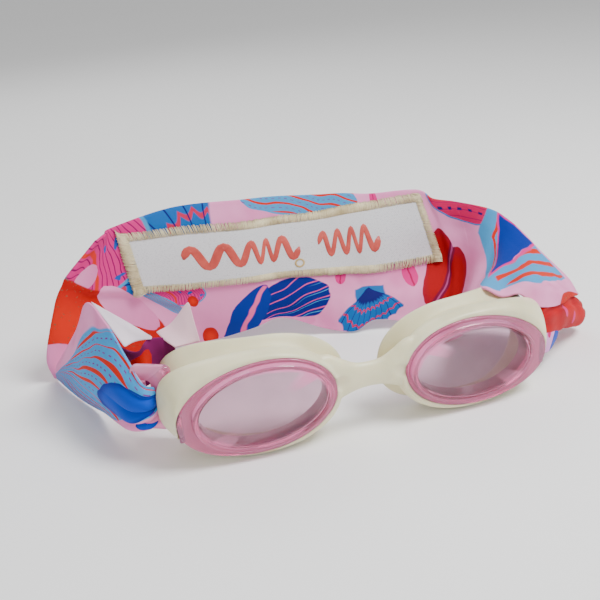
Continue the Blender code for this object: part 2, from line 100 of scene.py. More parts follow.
def unit(vectors):
    return vectors / np.linalg.norm(vectors, axis=1, keepdims=True)


def grid_normals(points):
    normal = np.cross(np.gradient(points, axis=0), np.gradient(points, axis=1))
    return normal / np.maximum(np.linalg.norm(normal, axis=2, keepdims=True), 1e-9)


def spans(points, axis):
    """Mean distance along the grid from its first line, as a list of one length per line."""
    steps = np.linalg.norm(np.diff(points, axis=axis), axis=2).mean(axis=1 - axis)
    return np.concatenate(([0.0], np.cumsum(steps)))


def mesh_piece(name, points, faces, look, uvs=None):
    """A smooth-shaded object from points in the goggles' frame; uvs is one pair per point."""
    mesh = bpy.data.meshes.new(name)
    mesh.from_pydata([tuple(p) for p in place(points)], [], [tuple(f) for f in faces])
    if uvs is not None:
        layer = mesh.uv_layers.new(name="flat")
        corner = np.zeros(len(mesh.loops), int)
        mesh.loops.foreach_get("vertex_index", corner)
        layer.data.foreach_set("uv", np.asarray(uvs, float)[corner].ravel())
    mesh.shade_smooth()
    mesh.materials.append(look)
    made = bpy.data.objects.new(name, mesh)
    bpy.context.scene.collection.objects.link(made)
    return made


def grid_faces(rows, columns, wrap_rows=False, wrap_columns=False):
    index = np.arange(rows * columns).reshape(rows, columns)
    if wrap_rows:
        index = np.concatenate((index, index[:1]), axis=0)
    if wrap_columns:
        index = np.concatenate((index, index[:, :1]), axis=1)
    corners = (index[:-1, :-1], index[1:, :-1], index[1:, 1:], index[:-1, 1:])
    return np.stack([c.ravel() for c in corners], axis=1)


def face_outwards(made):
    shape = bmesh.new()
    shape.from_mesh(made.data)
    bmesh.ops.recalc_face_normals(shape, faces=shape.faces)
    shape.to_mesh(made.data)
    shape.free()
    return made


def skin(name, rings, look, closed_profile=False):
    """A skin through rings of equally many points, capped at both ends or joined round."""
    points = np.concatenate(rings)
    count = len(rings[0])
    faces = [tuple(f) for f in grid_faces(len(rings), count, closed_profile, True)]
    if not closed_profile:
        faces.append(tuple(range(count)))
        faces.append(tuple(range(len(points) - count, len(points))))
    return face_outwards(mesh_piece(name, points, faces, look))


def applied(made):
    """The object with its modifiers turned into plain mesh."""
    graph = bpy.context.evaluated_depsgraph_get()
    bpy.context.view_layer.update()
    mesh = bpy.data.meshes.new_from_object(made.evaluated_get(graph))
    made.modifiers.clear()
    made.data = mesh
    return made


def joined(blocks):
    """Many small meshes as one: blocks is a list of their points and faces."""
    points, faces, base = [], [], 0
    for block_points, block_faces in blocks:
        points.append(block_points)
        faces.extend([tuple(int(i) + base for i in face) for face in block_faces])
        base += len(block_points)
    return np.concatenate(points), faces


def boolean(target, tool, operation):
    step = target.modifiers.new(operation.lower(), "BOOLEAN")
    step.operation = operation
    step.solver = "EXACT"
    step.object = tool
    applied(target)
    bpy.data.objects.remove(tool)
    return target


def modifier(made, kind, **settings):
    step = made.modifiers.new(kind.lower(), kind)
    for key, value in settings.items():
        setattr(step, key, value)
    return step


def shade(made, degrees):
    """Smooth shading, with a crease wherever faces meet at more than this."""
    made.data.shade_smooth()
    made.data.set_sharp_from_angle(angle=math.radians(degrees))


# --- Node materials -----------------------------------------------------------------------
def arithmetic(operation):
    """A method that feeds a field, and any other values, to one kind of maths node."""
    return lambda self, *others: self.math(operation, *others)


class Field:
    """A value in a material's node tree that ordinary arithmetic works on."""

    def __init__(self, tree, socket):
        self.tree = tree
        self.socket = socket

    def math(self, operation, *others):
        made = self.tree.nodes.new("ShaderNodeMath")
        made.operation = operation
        for slot, value in zip(made.inputs, (self, *others)):
            feed(slot, value)
        return out(made)

    __add__ = arithmetic("ADD")
    __sub__ = arithmetic("SUBTRACT")
    __mul__ = arithmetic("MULTIPLY")
    __truediv__ = arithmetic("DIVIDE")
    __pow__ = arithmetic("POWER")
    sin = arithmetic("SINE")
    abs = arithmetic("ABSOLUTE")
    least = arithmetic("MINIMUM")
    most = arithmetic("MAXIMUM")

    def sub_from(self, start):
        return self * -1.0 + start

    def ramp(self, low, high):
        """0 below low and 1 above high, with a soft step between them; low may be above high."""
        made = self.tree.nodes.new("ShaderNodeMapRange")
        made.interpolation_type = "SMOOTHSTEP"
        for slot, value in zip(made.inputs, (self, low, high, 0.0, 1.0)):
            feed(slot, value)
        return out(made)


def feed(slot, value):
    """Links a socket to a field, or sets it to a plain value."""
    if isinstance(value, Field):
        slot.id_data.links.new(value.socket, slot)
    else:
        slot.default_value = value


def node(tree, kind, inputs=(), **settings):
    """A new node with its settings made and its inputs, by name or number, fed or set."""
    made = tree.nodes.new("ShaderNode" + kind)
    for key, value in settings.items():
        setattr(made, key, value)
    for key, value in dict(inputs).items():
        feed(made.inputs[key], value)
    return made


def out(made, key=0):
    return Field(made.id_data, made.outputs[key])


def parts(where):
    """The first two parts of a vector."""
    made = node(where.tree, "SeparateXYZ", {0: where})
    return out(made, "X"), out(made, "Y")


def vector(operation, first, second, key=1):
    """Vector arithmetic on a field; key is the input that second goes to."""
    return out(node(first.tree, "VectorMath", {0: first, key: second}, operation=operation))


def mix(amount, first, second):
    """first where amount is 0 and second where it is 1, as colours."""
    made = amount.tree.nodes.new("ShaderNodeMix")
    made.data_type = "RGBA"
    feed(made.inputs[0], amount)
    feed(made.inputs[6], first)
    feed(made.inputs[7], second)
    return out(made, 2)


def colour(r, g, b):
    """A colour from its values on screen, 0 to 255."""
    return (*((c / 255) ** 2.2 for c in (r, g, b)), 1.0)


def noise(where, scale, detail=2.0):
    return out(node(where.tree, "TexNoise", {"Vector": where, "Scale": scale, "Detail": detail}), "Fac")


def material(name, **sockets):
    """A Principled material; sockets are its inputs' names with _ for each space."""
    made = bpy.data.materials.new(name)
    made.use_nodes = True
    shader = made.node_tree.nodes["Principled BSDF"]
    for key, value in sockets.items():
        shader.inputs[key.replace("_", " ")].default_value = value
    return made, made.node_tree, shader


def bump(tree, shader, height, distance, strength=1.0, after=None):
    made = node(tree, "Bump", {"Height": height, "Distance": distance, "Strength": strength})
    if after is not None:
        tree.links.new(after.outputs[0], made.inputs["Normal"])
    tree.links.new(made.outputs[0], shader.inputs["Normal"])
    return made


def object_place(tree):
    return out(node(tree, "TexCoord"), "Object")


PINK = colour(236, 148, 196)
PINK_DEEP = colour(222, 124, 176)
SKY = colour(66, 146, 200)
BLUE = colour(14, 44, 138)
NAVY = colour(26, 28, 104)
ORANGE = colour(200, 40, 20)
RED = colour(160, 8, 20)
MAGENTA = colour(214, 44, 128)
PURPLE = colour(126, 40, 130)


def motif(name, build):
    """A node group that draws one printed shape round the origin, about 1 across each way."""
    group = bpy.data.node_groups.new(name, "ShaderNodeTree")
    group.interface.new_socket("Place", in_out="INPUT", socket_type="NodeSocketVector")
    group.interface.new_socket("Colour", in_out="OUTPUT", socket_type="NodeSocketColor")
    group.interface.new_socket("Mask", in_out="OUTPUT", socket_type="NodeSocketFloat")
    start = group.nodes.new("NodeGroupInput")
    end = group.nodes.new("NodeGroupOutput")
    spot = Field(group, start.outputs[0])
    wobble = out(node(group, "TexNoise", {"Vector": spot, "Scale": 2.2, "Detail": 1.0}), "Color")
    shift = vector("SCALE", vector("SUBTRACT", wobble, (0.5, 0.5, 0.5)), 0.16, 3)
    tint, mask = build(*parts(vector("ADD", spot, shift)))
    feed(end.inputs["Colour"], tint)
    feed(end.inputs["Mask"], mask)
    return group


def stripes(field, count, share, soft=0.10):
    """1 on the stripes: count of them in each unit of field, each a share of its pitch wide."""
    wave = (field * (count * math.pi)).sin().abs()
    return wave.ramp(share + soft, share - soft)


def depth_in(x, y, corners):
    """How far a place is inside a convex shape; corners go round it anticlockwise."""
    depth = None
    for (ax, ay), (bx, by) in zip(corners, corners[1:] + corners[:1]):
        length = math.hypot(bx - ax, by - ay)
        nx, ny = (ay - by) / length, (bx - ax) / length
        edge = x * nx + y * ny + (-ax * nx - ay * ny)
        depth = edge if depth is None else depth.least(edge)
    return depth


def cone(x, y):
    """A cone shell: sky blue with slanting orange stripes and rows of purple dots."""
    width = (x * -0.30) + 0.56
    outline = y.abs() / width.most(0.02)
    mask = (outline * outline + (x * x) * (x * x)).ramp(1.02, 0.97)
    slant = y * 0.85 + x * 0.28 + (x * 7.0).sin() * 0.05
    tint = mix(stripes(slant, 4.4, 0.34), SKY, ORANGE)
    dots = (slant * (4.4 * math.pi)).sin().abs().ramp(0.985, 1.0) * (x * 60.0).sin().ramp(0.0, 0.3)
    tint = mix(dots, tint, PURPLE)
    return mix(outline.ramp(0.84, 0.90), tint, SKY), mask


def conch(x, y):
    """A conch: a deep blue mouth, an orange-lined lip and a striped body."""
    body = depth_in(x, y, [(-0.19, -0.60), (0.0, -0.95), (0.62, -0.60), (1.0, 0.70), (0.23, 0.86)])
    mouth = depth_in(x, y, [(-0.19, -0.56), (0.25, 0.84), (-0.48, 0.86), (-0.50, 0.20)])
    lip_corners = [(-0.22, -0.98), (0.05, -0.95), (-0.10, 0.95), (-0.70, 0.95), (-0.98, 0.35), (-0.72, -0.40)]
    lip = depth_in(x, y, lip_corners)
    mask = body.most(lip).most(mouth).ramp(-0.01, 0.02)
    slant = x * 0.85 - y * 0.42 + (y * 5.0).sin() * 0.04
    tint = mix(stripes(slant, 3.9, 0.56) * body.ramp(0.03, 0.08), SKY, ORANGE)
    line = stripes(lip, 3.4, 0.36) * lip.ramp(0.06, 0.10) * (x + 0.30).ramp(0.02, -0.04)
    tint = mix(line, tint, ORANGE)
    tint = mix(mouth.ramp(-0.07, -0.03), tint, MAGENTA)
    return mix(mouth.ramp(-0.01, 0.02), tint, BLUE), mask


def scallop(x, y):
    """A scallop: a fan of ribs from its hinge, crossed by wavy bands, with two ears."""
    down = y + 0.55
    radius = (x * x + down * down) ** 0.5
    angle = x.math("ARCTAN2", down)
    waves = radius + (angle * 17.0).sin().abs() * 0.05
    fan = waves.ramp(1.02, 0.99) * angle.abs().ramp(0.97, 0.93)
    ears = (down - x.abs() * 0.12).ramp(-0.06, -0.03) * x.abs().ramp(0.38, 0.34)
    ears = ears * down.ramp(0.30, 0.26)
    tint = mix(stripes(waves + 0.12, 4.2, 0.26), colour(24, 96, 170), colour(190, 44, 80))
    tint = mix(waves.ramp(0.50, 0.42), tint, NAVY)
    tint = mix(stripes(angle, 4.6, 0.13, 0.05), tint, NAVY)
    tint = mix(angle.abs().ramp(0.97, 0.93), colour(34, 104, 170), tint)
    return tint, fan.most(ears)


def fronds(x, y):
    """Sky blue with orange strokes that spread from one corner, and dotted lines between them."""
    edge = (x.sub_from(0.896) * 0.753) - y + (x * 9.0).sin() * 0.03 - 0.318
    mask = edge.ramp(-0.01, 0.02)
    angle = ((y + 0.34) * 22.0).math("ARCTAN2", x.sub_from(1.10) * 48.0)
    flow = angle + (x * 5.0 + y * 2.0).sin() * 0.035
    swell = (x * 7.0 + angle * 30.0).sin() * 0.22 + 0.34
    wave = (flow * (15.0 * math.pi)).sin().abs()
    tint = mix(wave.ramp(swell + 0.08, swell - 0.08), colour(58, 150, 214), ORANGE)
    dots = wave.ramp(0.975, 1.0) * (x * 75.0).sin().ramp(0.0, 0.3)
    tint = mix(dots, tint, PURPLE)
    return mix(edge.ramp(0.06, 0.03), tint, colour(58, 150, 214)), mask


def coral(x, y):
    """A plump red two-lobed shell with a purple seam."""
    lobes = ((x.abs() - 0.34) ** 2.0) * 2.6 + ((y + x * 0.30) ** 2.0) * 1.05
    mask = lobes.ramp(1.04, 0.98)
    seam = (x + (y * 3.0).sin() * 0.07).abs()
    tint = mix(lobes.ramp(0.45, 0.95), RED, colour(150, 14, 40))
    tint = mix(seam.ramp(0.15, 0.09), tint, colour(110, 14, 54))
    return mix(seam.ramp(0.045, 0.02), tint, colour(160, 70, 120)), mask


def whelk(x, y):
    """A deep blue whelk: a pink rib up the tail, and slanting pink and sky lines on the body."""
    body = ((x - 0.30) ** 2.0) * 2.2 + ((y - 0.18) ** 2.0) * 1.9 + (x * 9.0 + y * 4.0).sin() * 0.05
    tail = ((x + 0.52 - y * 0.35) ** 2.0) * 6.5 + (y ** 2.0) * 0.95
    mask = body.least(tail).ramp(1.02, 0.97)
    whorl = y * 1.0 - x * 0.42 + (x * 8.0).sin() * 0.04
    tint = mix(stripes(whorl, 3.4, 0.17), colour(14, 32, 120), colour(216, 84, 140))
    tint = mix(stripes(whorl + 0.09, 3.4, 0.12) * (x - y * 0.8).ramp(0.2, 0.6), tint, SKY)
    tint = mix(tail.ramp(1.0, 0.93), tint, BLUE)
    rib = (x + 0.50 - y * 0.35 - (y * y) * 0.12).abs()
    return mix(rib.ramp(0.075, 0.045) * tail.ramp(1.0, 0.9), tint, colour(226, 96, 150)), mask


def auger(x, y):
    """A magenta shell with dark lines that curve round its corner, blue flecks and a blue edge."""
    outline = ((x * x) * 1.02 + (y * y) * 1.02) ** 0.5
    mask = outline.ramp(1.01, 0.98)
    curve = (((x + 0.75) ** 2.0) + ((y + 0.65) ** 2.0)) ** 0.5 + (x * 9.0).sin() * 0.012
    tint = mix(stripes(curve, 9.5, 0.26, 0.14), MAGENTA, colour(120, 10, 80))
    tint = mix((curve - 0.62).abs().ramp(0.055, 0.03), tint, colour(214, 50, 40))
    spot = node(x.tree, "CombineXYZ", {0: x * 4.0, 1: y * 4.0})
    flecks = noise(out(spot), 0.9, 1.0).ramp(0.62, 0.66) * (x + 0.2).ramp(-0.1, 0.1)
    tint = mix(flecks, tint, colour(36, 84, 170))
    return mix(outline.ramp(0.92, 0.95), tint, SKY), mask


def purse(x, y):
    """A crimson shell with a row of small blue rings and a blue lower edge."""
    outline = ((x * x) + (y * y)) ** 0.5
    mask = outline.ramp(1.01, 0.98)
    arc = y + (x * x) * 0.35
    tint = mix(stripes(arc, 3.0, 0.16), colour(206, 24, 90), colour(150, 20, 90))
    tint = mix(arc.ramp(-0.05, 0.25), tint, colour(196, 40, 60))
    dots = (x * 26.0).sin().ramp(0.2, 0.5) * (arc + 0.30).abs().ramp(0.09, 0.06)
    tint = mix(dots, tint, NAVY)
    return mix(outline.ramp(0.90, 0.93), tint, colour(70, 120, 190)), mask


def splash(x, y):
    """An orange-red shape with small dark flecks."""
    outline = ((x * x) + (y * y)) ** 0.5
    mask = outline.ramp(1.0, 0.97)
    spot = node(x.tree, "CombineXYZ", {0: x * 9.0, 1: y * 9.0})
    flecks = noise(out(spot), 1.6, 1.0).ramp(0.66, 0.70)
    tint = mix(outline.ramp(0.1, 0.95), colour(214, 42, 18), colour(184, 22, 16))
    return mix(flecks, tint, colour(120, 84, 60)), mask


def petal(x, y):
    """A plain oval of the ground colour, left between other shapes."""
    mask = ((x * x) + (y * y)).ramp(1.02, 0.97)
    return mix(x.ramp(-1.0, 1.0), PINK, PINK_DEEP), mask


def wave(x, y):
    """A deep blue oval with a darker edge."""
    outline = (x * x) + (y * y)
    tint = mix(outline.ramp(0.5, 1.0), colour(14, 70, 186), colour(10, 40, 140))
    return tint, outline.ramp(1.02, 0.98)


def drop(x, y):
    """A small magenta drop with a dark vein."""
    mask = (((x * x) * 1.6 + (y * y) * 1.1) ** 0.5 + y * 0.25).ramp(0.98, 0.90)
    return mix(x.abs().ramp(0.12, 0.05), MAGENTA, colour(170, 20, 80)), mask


MOTIFS = {
    build.__name__: motif("print_" + build.__name__, build)
    for build in (cone, conch, scallop, fronds, coral, whelk, auger, purse, splash, petal, wave, drop)
}


def knit(tree, shader, uv, after=None):
    """The fine ribs and slight unevenness of swim knit."""
    x, y = parts(uv)
    ribs = (x * (2 * math.pi / 0.42)).sin() * 0.5 + 0.5
    loops = (y * (2 * math.pi / 0.36) + (x * (math.pi / 0.42)).sin() * 0.8).sin() * 0.5 + 0.5
    fine = bump(tree, shader, ribs * 0.6 + loops * 0.4, 0.00004, 0.5, after)
    return bump(tree, shader, noise(uv, 0.12, 3.0), 0.0006, 0.35, fine)


def fabric(name, prints=(), base=PINK, shadow=PINK_DEEP):
    """Printed swim knit. prints is a list of (motif, u, v, degrees, length, height) on the flat
    cloth in millimetres, later ones over earlier ones."""
    made, tree, shader = material(name, Roughness=0.78, Sheen_Weight=0.05, Sheen_Roughness=0.4)
    shader.inputs["Specular IOR Level"].default_value = 0.16
    uv = out(node(tree, "UVMap", uv_map="flat"))
    mottled = noise(uv, 0.06, 2.0)
    tint = mix(mottled.ramp(0.35, 0.75), base, shadow)
    for kind, u, v, degrees, length, height in prints:
        shifted = vector("ADD", uv, (-u, -v, 0.0))
        turn = {0: shifted, "Angle": -math.radians(degrees)}
        turned = out(node(tree, "VectorRotate", turn, rotation_type="Z_AXIS"))
        sized = vector("MULTIPLY", turned, (2 / length, 2 / height, 1.0))
        drawn = tree.nodes.new("ShaderNodeGroup")
        drawn.node_tree = MOTIFS[kind]
        feed(drawn.inputs[0], vector("ADD", sized, (0.0, 0.0, u * 0.37 + v)))
        tint = mix(out(drawn, "Mask"), tint, out(drawn, "Colour"))
    feed(shader.inputs["Base Color"], tint)
    knit(tree, shader, uv)
    return made


def moulded_rubber(name, tint, roughness):
    made, tree, shader = material(name, Roughness=roughness, IOR=1.46)
    shader.inputs["Subsurface Weight"].default_value = 0.35
    shader.inputs["Subsurface Radius"].default_value = (1.0, 0.75, 0.5)
    shader.inputs["Subsurface Scale"].default_value = 0.003
    where = object_place(tree)
    cloudy = noise(where, 60.0, 3.0)
    feed(shader.inputs["Base Color"], mix(cloudy.ramp(0.3, 0.8), tint, colour(214, 208, 170)))
    feed(shader.inputs["Roughness"], noise(where, 400.0, 2.0) * 0.10 + (roughness - 0.05))
    bump(tree, shader, noise(where, 2500.0, 2.0), 0.00002, 0.35)
    return made


def clear_plastic(name, tint, density):
    """Tinted clear plastic. Its window is smoother and paler than its moulded edges; the
    rim attribute is 0 on the window, 1 on the ring and more on the cloudier lug."""
    made, tree, shader = material(name, Roughness=0.035, IOR=1.50)
    rim = out(node(tree, "Attribute", attribute_name="rim"), "Fac")
    where = object_place(tree)
    cloudy = noise(where, 45.0, 3.0).ramp(0.3, 0.75)
    window = mix(cloudy, colour(206, 180, 194), colour(190, 166, 180))
    edge = mix(cloudy, colour(255, 168, 212), colour(250, 148, 198))
    feed(shader.inputs["Transmission Weight"], rim * -0.28 + 1.0)
    feed(shader.inputs["Base Color"], mix(rim, window, edge))
    feed(shader.inputs["Roughness"], (rim * -0.05 + 0.09).most(0.04))
    inside = node(tree, "VolumeAbsorption", {"Color": tint, "Density": density})
    tree.links.new(inside.outputs[0], tree.nodes["Material Output"].inputs["Volume"])
    bump(tree, shader, noise(where, 35.0, 1.0), 0.0002, 0.06)
    return made


def thread(name, tint, dark):
    made, tree, shader = material(name, Roughness=0.5, Sheen_Weight=0.25)
    where = object_place(tree)
    strands = noise(where, 1400.0, 3.0)
    uneven = noise(where, 120.0, 2.0)
    shade_of = mix(uneven.ramp(0.3, 0.75), tint, dark)
    feed(shader.inputs["Base Color"], mix(strands.ramp(0.42, 0.75) * 0.35, shade_of, dark))
    bump(tree, shader, strands, 0.00012, 0.6)
    return made


def twill(name):
    made, tree, shader = material(name, Roughness=0.85, Sheen_Weight=0.1)
    uv = out(node(tree, "UVMap", uv_map="flat"))
    x, y = parts(uv)
    slant = ((x + y * 0.6) * (2 * math.pi / 0.55)).sin() * 0.5 + 0.5
    cross = (y * (2 * math.pi / 0.32)).sin() * 0.5 + 0.5
    weave = slant * 0.7 + cross * 0.3
    tint = mix(weave, colour(196, 198, 204), colour(228, 228, 228))
    flecks = noise(uv, 1.6, 3.0).ramp(0.50, 0.70)
    feed(shader.inputs["Base Color"], mix(flecks * 0.5, tint, colour(170, 170, 176)))
    bump(tree, shader, weave, 0.00006, 0.7)
    return made


# --- Eyepieces ----------------------------------------------------------------------------
AROUND = 160  # points in each ring round an eye
LENS_REACH = (27.3, 18.0, 31.2)  # the lens cup's widest: half width, half height, to the temple
COLLAR_REACH = (25.4, 16.2)  # its collar's half width and half height
CLEARANCE = 0.3  # between the lens cup and the frame round it


def eye_place(side, u, v, w):
    """Points at u to the temple, v up and w back from the middle of one lens's front."""
    x = u * math.cos(WRAP) - w * math.sin(WRAP)
    y = w * math.cos(WRAP) + u * math.sin(WRAP)
    return np.stack((side * (x + EYE_OFFSET), y, v), axis=1)


def oval(side, w, nose, temple, up, down, powers=(2.0, 2.0, 2.0), droop=0.0):
    """A ring round one eye: w back from the lens front, with its own reach each way. powers say
    how square it is at the nose, above the temple and below it. w may be a function of (u, v)."""
    angle = circle(AROUND)
    c, s = np.cos(angle), np.sin(angle)
    power = np.where(c <= 0, powers[0], np.where(s > 0, powers[1], powers[2]))
    u = np.sign(c) * np.abs(c) ** (2 / power) * np.where(c > 0, temple, nose)
    v = np.sign(s) * np.abs(s) ** (2 / power) * np.where(s > 0, up, down)
    depth = w(u, v) if callable(w) else np.full(AROUND, float(w))
    u, v = u * math.cos(droop) + v * math.sin(droop), v * math.cos(droop) - u * math.sin(droop)
    return eye_place(side, u, v, depth)


def lens_oval(side, w, wide, tall, temple=None, grow=0.0):
    return oval(side, w, wide + grow, (temple or wide) + grow, tall + grow, tall + grow, droop=DROOP)


# The lens cup's section, from the middle of the window round the outside and back to the
# window's inner face: depth, half width, half height and, on the flange, reach to the temple.
LENS_SECTION = (
    (0.05, 12.0, 7.0), (0.0, 22.8, 13.7), (0.0, 23.3, 14.2), (0.08, 23.6, 14.5), (0.30, 23.9, 14.75),
    (0.34, 24.3, 15.1), (0.12, 24.7, 15.4), (0.05, 25.1, 15.75), (0.25, 25.5, 16.1), (0.75, 25.75, 16.35),
    (1.6, 25.9, 16.5), (2.05, 26.1, 16.7), (2.1, 26.4, 17.0), (1.95, 26.8, 17.4, 30.4),
    (1.95, 27.1, 17.8, 30.9), (2.15, 27.27, 17.97, 31.15), (2.6, 27.3, 18.0, 31.2),
    (3.4, 27.3, 18.0, 31.2), (3.6, 27.1, 17.8, 31.0), (3.6, 25.5, 16.3), (3.8, 25.4, 16.2),
    (8.9, 25.4, 16.2), (9.15, 25.2, 16.0), (9.2, 24.7, 15.5), (9.15, 24.2, 15.0), (8.9, 24.0, 14.8),
    (2.0, 23.8, 14.6), (1.5, 23.4, 14.2), (1.25, 22.8, 13.6), (1.25, 12.0, 7.0),
)
WINDOW = (23.0, 14.0, 3.5)  # the window's half width, half height and depth
LUG_ROOT = 31.5  # how far out from the lens's middle the lug begins
LUG_CENTRE = (79.0, 20.0, 4.0)
LUG_PLATE = ((-10.0, -13.0), (4.8, 13.0), 2.6)  # low corner, high corner and corner radius
LUG_SLOT = ((-2.2, -9.5), (2.2, 7.0), 1.5)
LUG_THICK = 2.2
ARM = ((28.9, -8.4), (30.7, 2.9))  # the bar from the lens cup back to the lug
ARM_DEPTHS = (3.1, 15.0)
ARM_SLOT = ((28.6, -8.7), (31.0, 3.2))  # the frame's slot for the arm
ARM_SLOT_DEPTHS = (2.8, 20.0)
ARM_RADIUS = 0.7
LUG_ANGLE = math.radians(27.0)


def lug_place(side, points):
    """Points laid out along the lug's plate, up it and through it, in the goggles' frame."""
    points = np.asarray(points, float)
    along = np.array((side * math.cos(LUG_ANGLE), math.sin(LUG_ANGLE), 0.0))
    across = np.array((math.sin(LUG_ANGLE), -side * math.cos(LUG_ANGLE), 0.0))
    centre = np.array((side * LUG_CENTRE[0], LUG_CENTRE[1], LUG_CENTRE[2]))
    up = np.array((0.0, 0.0, 1.0))
    return centre + points[:, :1] * along + points[:, 1:2] * up + points[:, 2:] * across


def rounded_box(low, high, radius, steps=8):
    corners = (
        (high[0] - radius, low[1] + radius, -90), (high[0] - radius, high[1] - radius, 0),
        (low[0] + radius, high[1] - radius, 90), (low[0] + radius, low[1] + radius, 180),
    )
    points = []
    for across, up, start in corners:
        for i in range(steps + 1):
            angle = math.radians(start + 90 * i / steps)
            points.append((across + radius * math.cos(angle), up + radius * math.sin(angle)))
    return np.array(points)


def soft_plate(name, place_in, low, high, radius, hole_low, hole_high, hole_radius, thick, look):
    """A flat ring with softened edges: an outline, a hole and a rounded section between them."""
    outer, inner = rounded_box(low, high, radius), rounded_box(hole_low, hole_high, hole_radius)
    half, soft = thick / 2, 0.35
    middle = (outer + inner) / 2

    def level(edge, depth):
        return np.column_stack((edge, np.full(len(edge), depth)))

    def drawn_in(edge, depth):
        return level(edge + unit(middle - edge) * soft, depth)

    rings = [
        level(outer, -half + soft), level(outer, half - soft), drawn_in(outer, half), drawn_in(inner, half),
        level(inner, half - soft), level(inner, -half + soft), drawn_in(inner, -half), drawn_in(outer, -half),
    ]
    return skin(name, [place_in(r) for r in rings], look, closed_profile=True)


def make_lens(side, word, look):
    rings = [lens_oval(side, *section) for section in LENS_SECTION]
    cup = skin("lens_cup_" + word, rings, look)
    lug = soft_plate("lug", lambda p: lug_place(side, p), *LUG_PLATE, *LUG_SLOT, LUG_THICK, look)
    arm_outline = rounded_box(*ARM, ARM_RADIUS, 4)
    arm = []
    for w in ARM_DEPTHS:
        arm.append(eye_place(side, arm_outline[:, 0], arm_outline[:, 1], w))
    boolean(cup, skin("arm", arm, look), "UNION")
    boolean(cup, lug, "UNION")
    shade(cup, 50)
    spots = np.array([v.co for v in cup.data.vertices])
    spots = (spots - ORIGIN) / MM - (side * EYE_OFFSET, 0.0, 0.0)
    window = (spots[:, 0] / WINDOW[0]) ** 2 + (spots[:, 2] / WINDOW[1]) ** 2 < 1.06
    window &= spots[:, 1] < WINDOW[2]
    plate = np.abs(spots[:, 0]) > LUG_ROOT
    rim = cup.data.attributes.new("rim", "FLOAT", "POINT")
    rim.data.foreach_set("value", np.where(window, 0.0, np.where(plate, 2.2, 1.0)))
    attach(cup, "goggles")
    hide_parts("lens_" + word)


def temple_back(w, more):
    """The rim is deeper at the temple, where it covers the lug's root."""
    return lambda u, v: w + more * np.clip((u - 18.0) / 16.0, 0, 1) ** 1.5


def frame_rim(side, look):
    return skin("rim", [
        oval(side, 2.3, 27.9, 31.0, 18.6, 18.4, (2.0, 2.2, 2.05)),
        oval(side, 2.2, 28.4, 31.4, 19.0, 18.8, (2.0, 2.2, 2.05)),
        oval(side, 2.8, 29.1, 31.9, 19.8, 19.4, (2.0, 2.4, 2.05)),
        oval(side, 4.2, 29.5, 32.6, 20.3, 19.9, (2.05, 2.7, 2.05)),
        oval(side, temple_back(6.2, 0.6), 29.6, 33.8, 20.6, 20.2, (2.1, 3.0, 2.1)),
        oval(side, temple_back(8.4, 2.2), 29.2, 35.4, 20.3, 20.3, (2.1, 3.2, 2.1)),
        oval(side, temple_back(9.6, 3.8), 28.6, 36.5, 19.9, 20.1, (2.1, 3.2, 2.1)),
        oval(side, temple_back(10.0, 4.4), 27.8, 35.9, 19.2, 19.6, (2.1, 3.2, 2.1)),
        oval(side, 9.8, 24.0, 24.0, 15.0, 15.0),
    ], look)


BRIDGE_AROUND = 48  # points round the bridge
DIMPLE_RINGS = 13
VOXEL = 0.45  # the mesh size at which the rims and bridge are blended into one
SMOOTHING = 14
BRIDGE_SECTIONS = (  # x, middle y, half depth, middle z, half height
    (0.0, 4.6, 2.6, 3.0, 5.0), (5.0, 4.7, 2.8, 3.0, 5.5), (9.5, 5.0, 3.3, 3.3, 7.4),
    (15.0, 5.5, 3.6, 3.8, 10.0), (20.5, 5.7, 3.4, 4.0, 9.8),
)


def make_frame(look):
    halves = [(-x, *rest) for x, *rest in reversed(BRIDGE_SECTIONS[1:])] + list(BRIDGE_SECTIONS)
    angle = circle(BRIDGE_AROUND)
    x, mid_y, half_y, mid_z, half_z = spline(np.array(halves), np.linspace(0, 1, 41)).T[..., None]
    y = mid_y + half_y * np.cos(angle)
    z = mid_z + half_z * np.sin(angle)
    rings = [np.stack((np.full(BRIDGE_AROUND, x[i, 0]), y[i], z[i]), axis=1) for i in range(len(x))]
    body = skin("frame_skin", rings, look)
    for side, _ in SIDES:
        boolean(body, frame_rim(side, look), "UNION")
    angle = angle[::2]
    for side, _ in SIDES:
        rings = []
        for share in np.linspace(0.02, 0.98, DIMPLE_RINGS):
            reach = math.sin(math.pi * share)
            x = np.full(len(angle), side * (6.5 + 10.5 * share))
            y = 1.4 + 0.9 * reach * np.cos(angle) + 0.5 * share
            z = 3.6 - 1.2 * share + 3.0 * reach * np.sin(angle)
            rings.append(np.stack((x, y, z), axis=1))
        boolean(body, skin("dimple", rings, look), "DIFFERENCE")
    modifier(body, "REMESH", mode="VOXEL", voxel_size=VOXEL * MM)
    modifier(body, "SMOOTH", factor=0.5, iterations=SMOOTHING)
    applied(body)
    for side, _ in SIDES:
        recess = [
            lens_oval(side, -8.0, *LENS_REACH, CLEARANCE),
            lens_oval(side, 3.9, *LENS_REACH, CLEARANCE),
            lens_oval(side, 3.9, *COLLAR_REACH, None, CLEARANCE),
            lens_oval(side, 30.0, *COLLAR_REACH, None, CLEARANCE),
        ]
        boolean(body, skin("recess", recess, look), "DIFFERENCE")
        slot = []
        outline = rounded_box(*ARM_SLOT, ARM_RADIUS, 4)
        for w in ARM_SLOT_DEPTHS:
            u, v = outline[:, 0], outline[:, 1]
            slot.append(np.stack((side * (u + EYE_OFFSET), w + u * math.sin(WRAP), v), axis=1))
        boolean(body, skin("slot", slot, look), "DIFFERENCE")
    shade(body, 40)
    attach(body, "goggles")
    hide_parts("frame")


def seal_lip(u, v):
    """How far back the seal's lip is: it follows the face round the temple."""
    share = np.maximum(0.0, (u + 4.0) / 36.0)
    return 15.5 + 12.5 * share**1.8


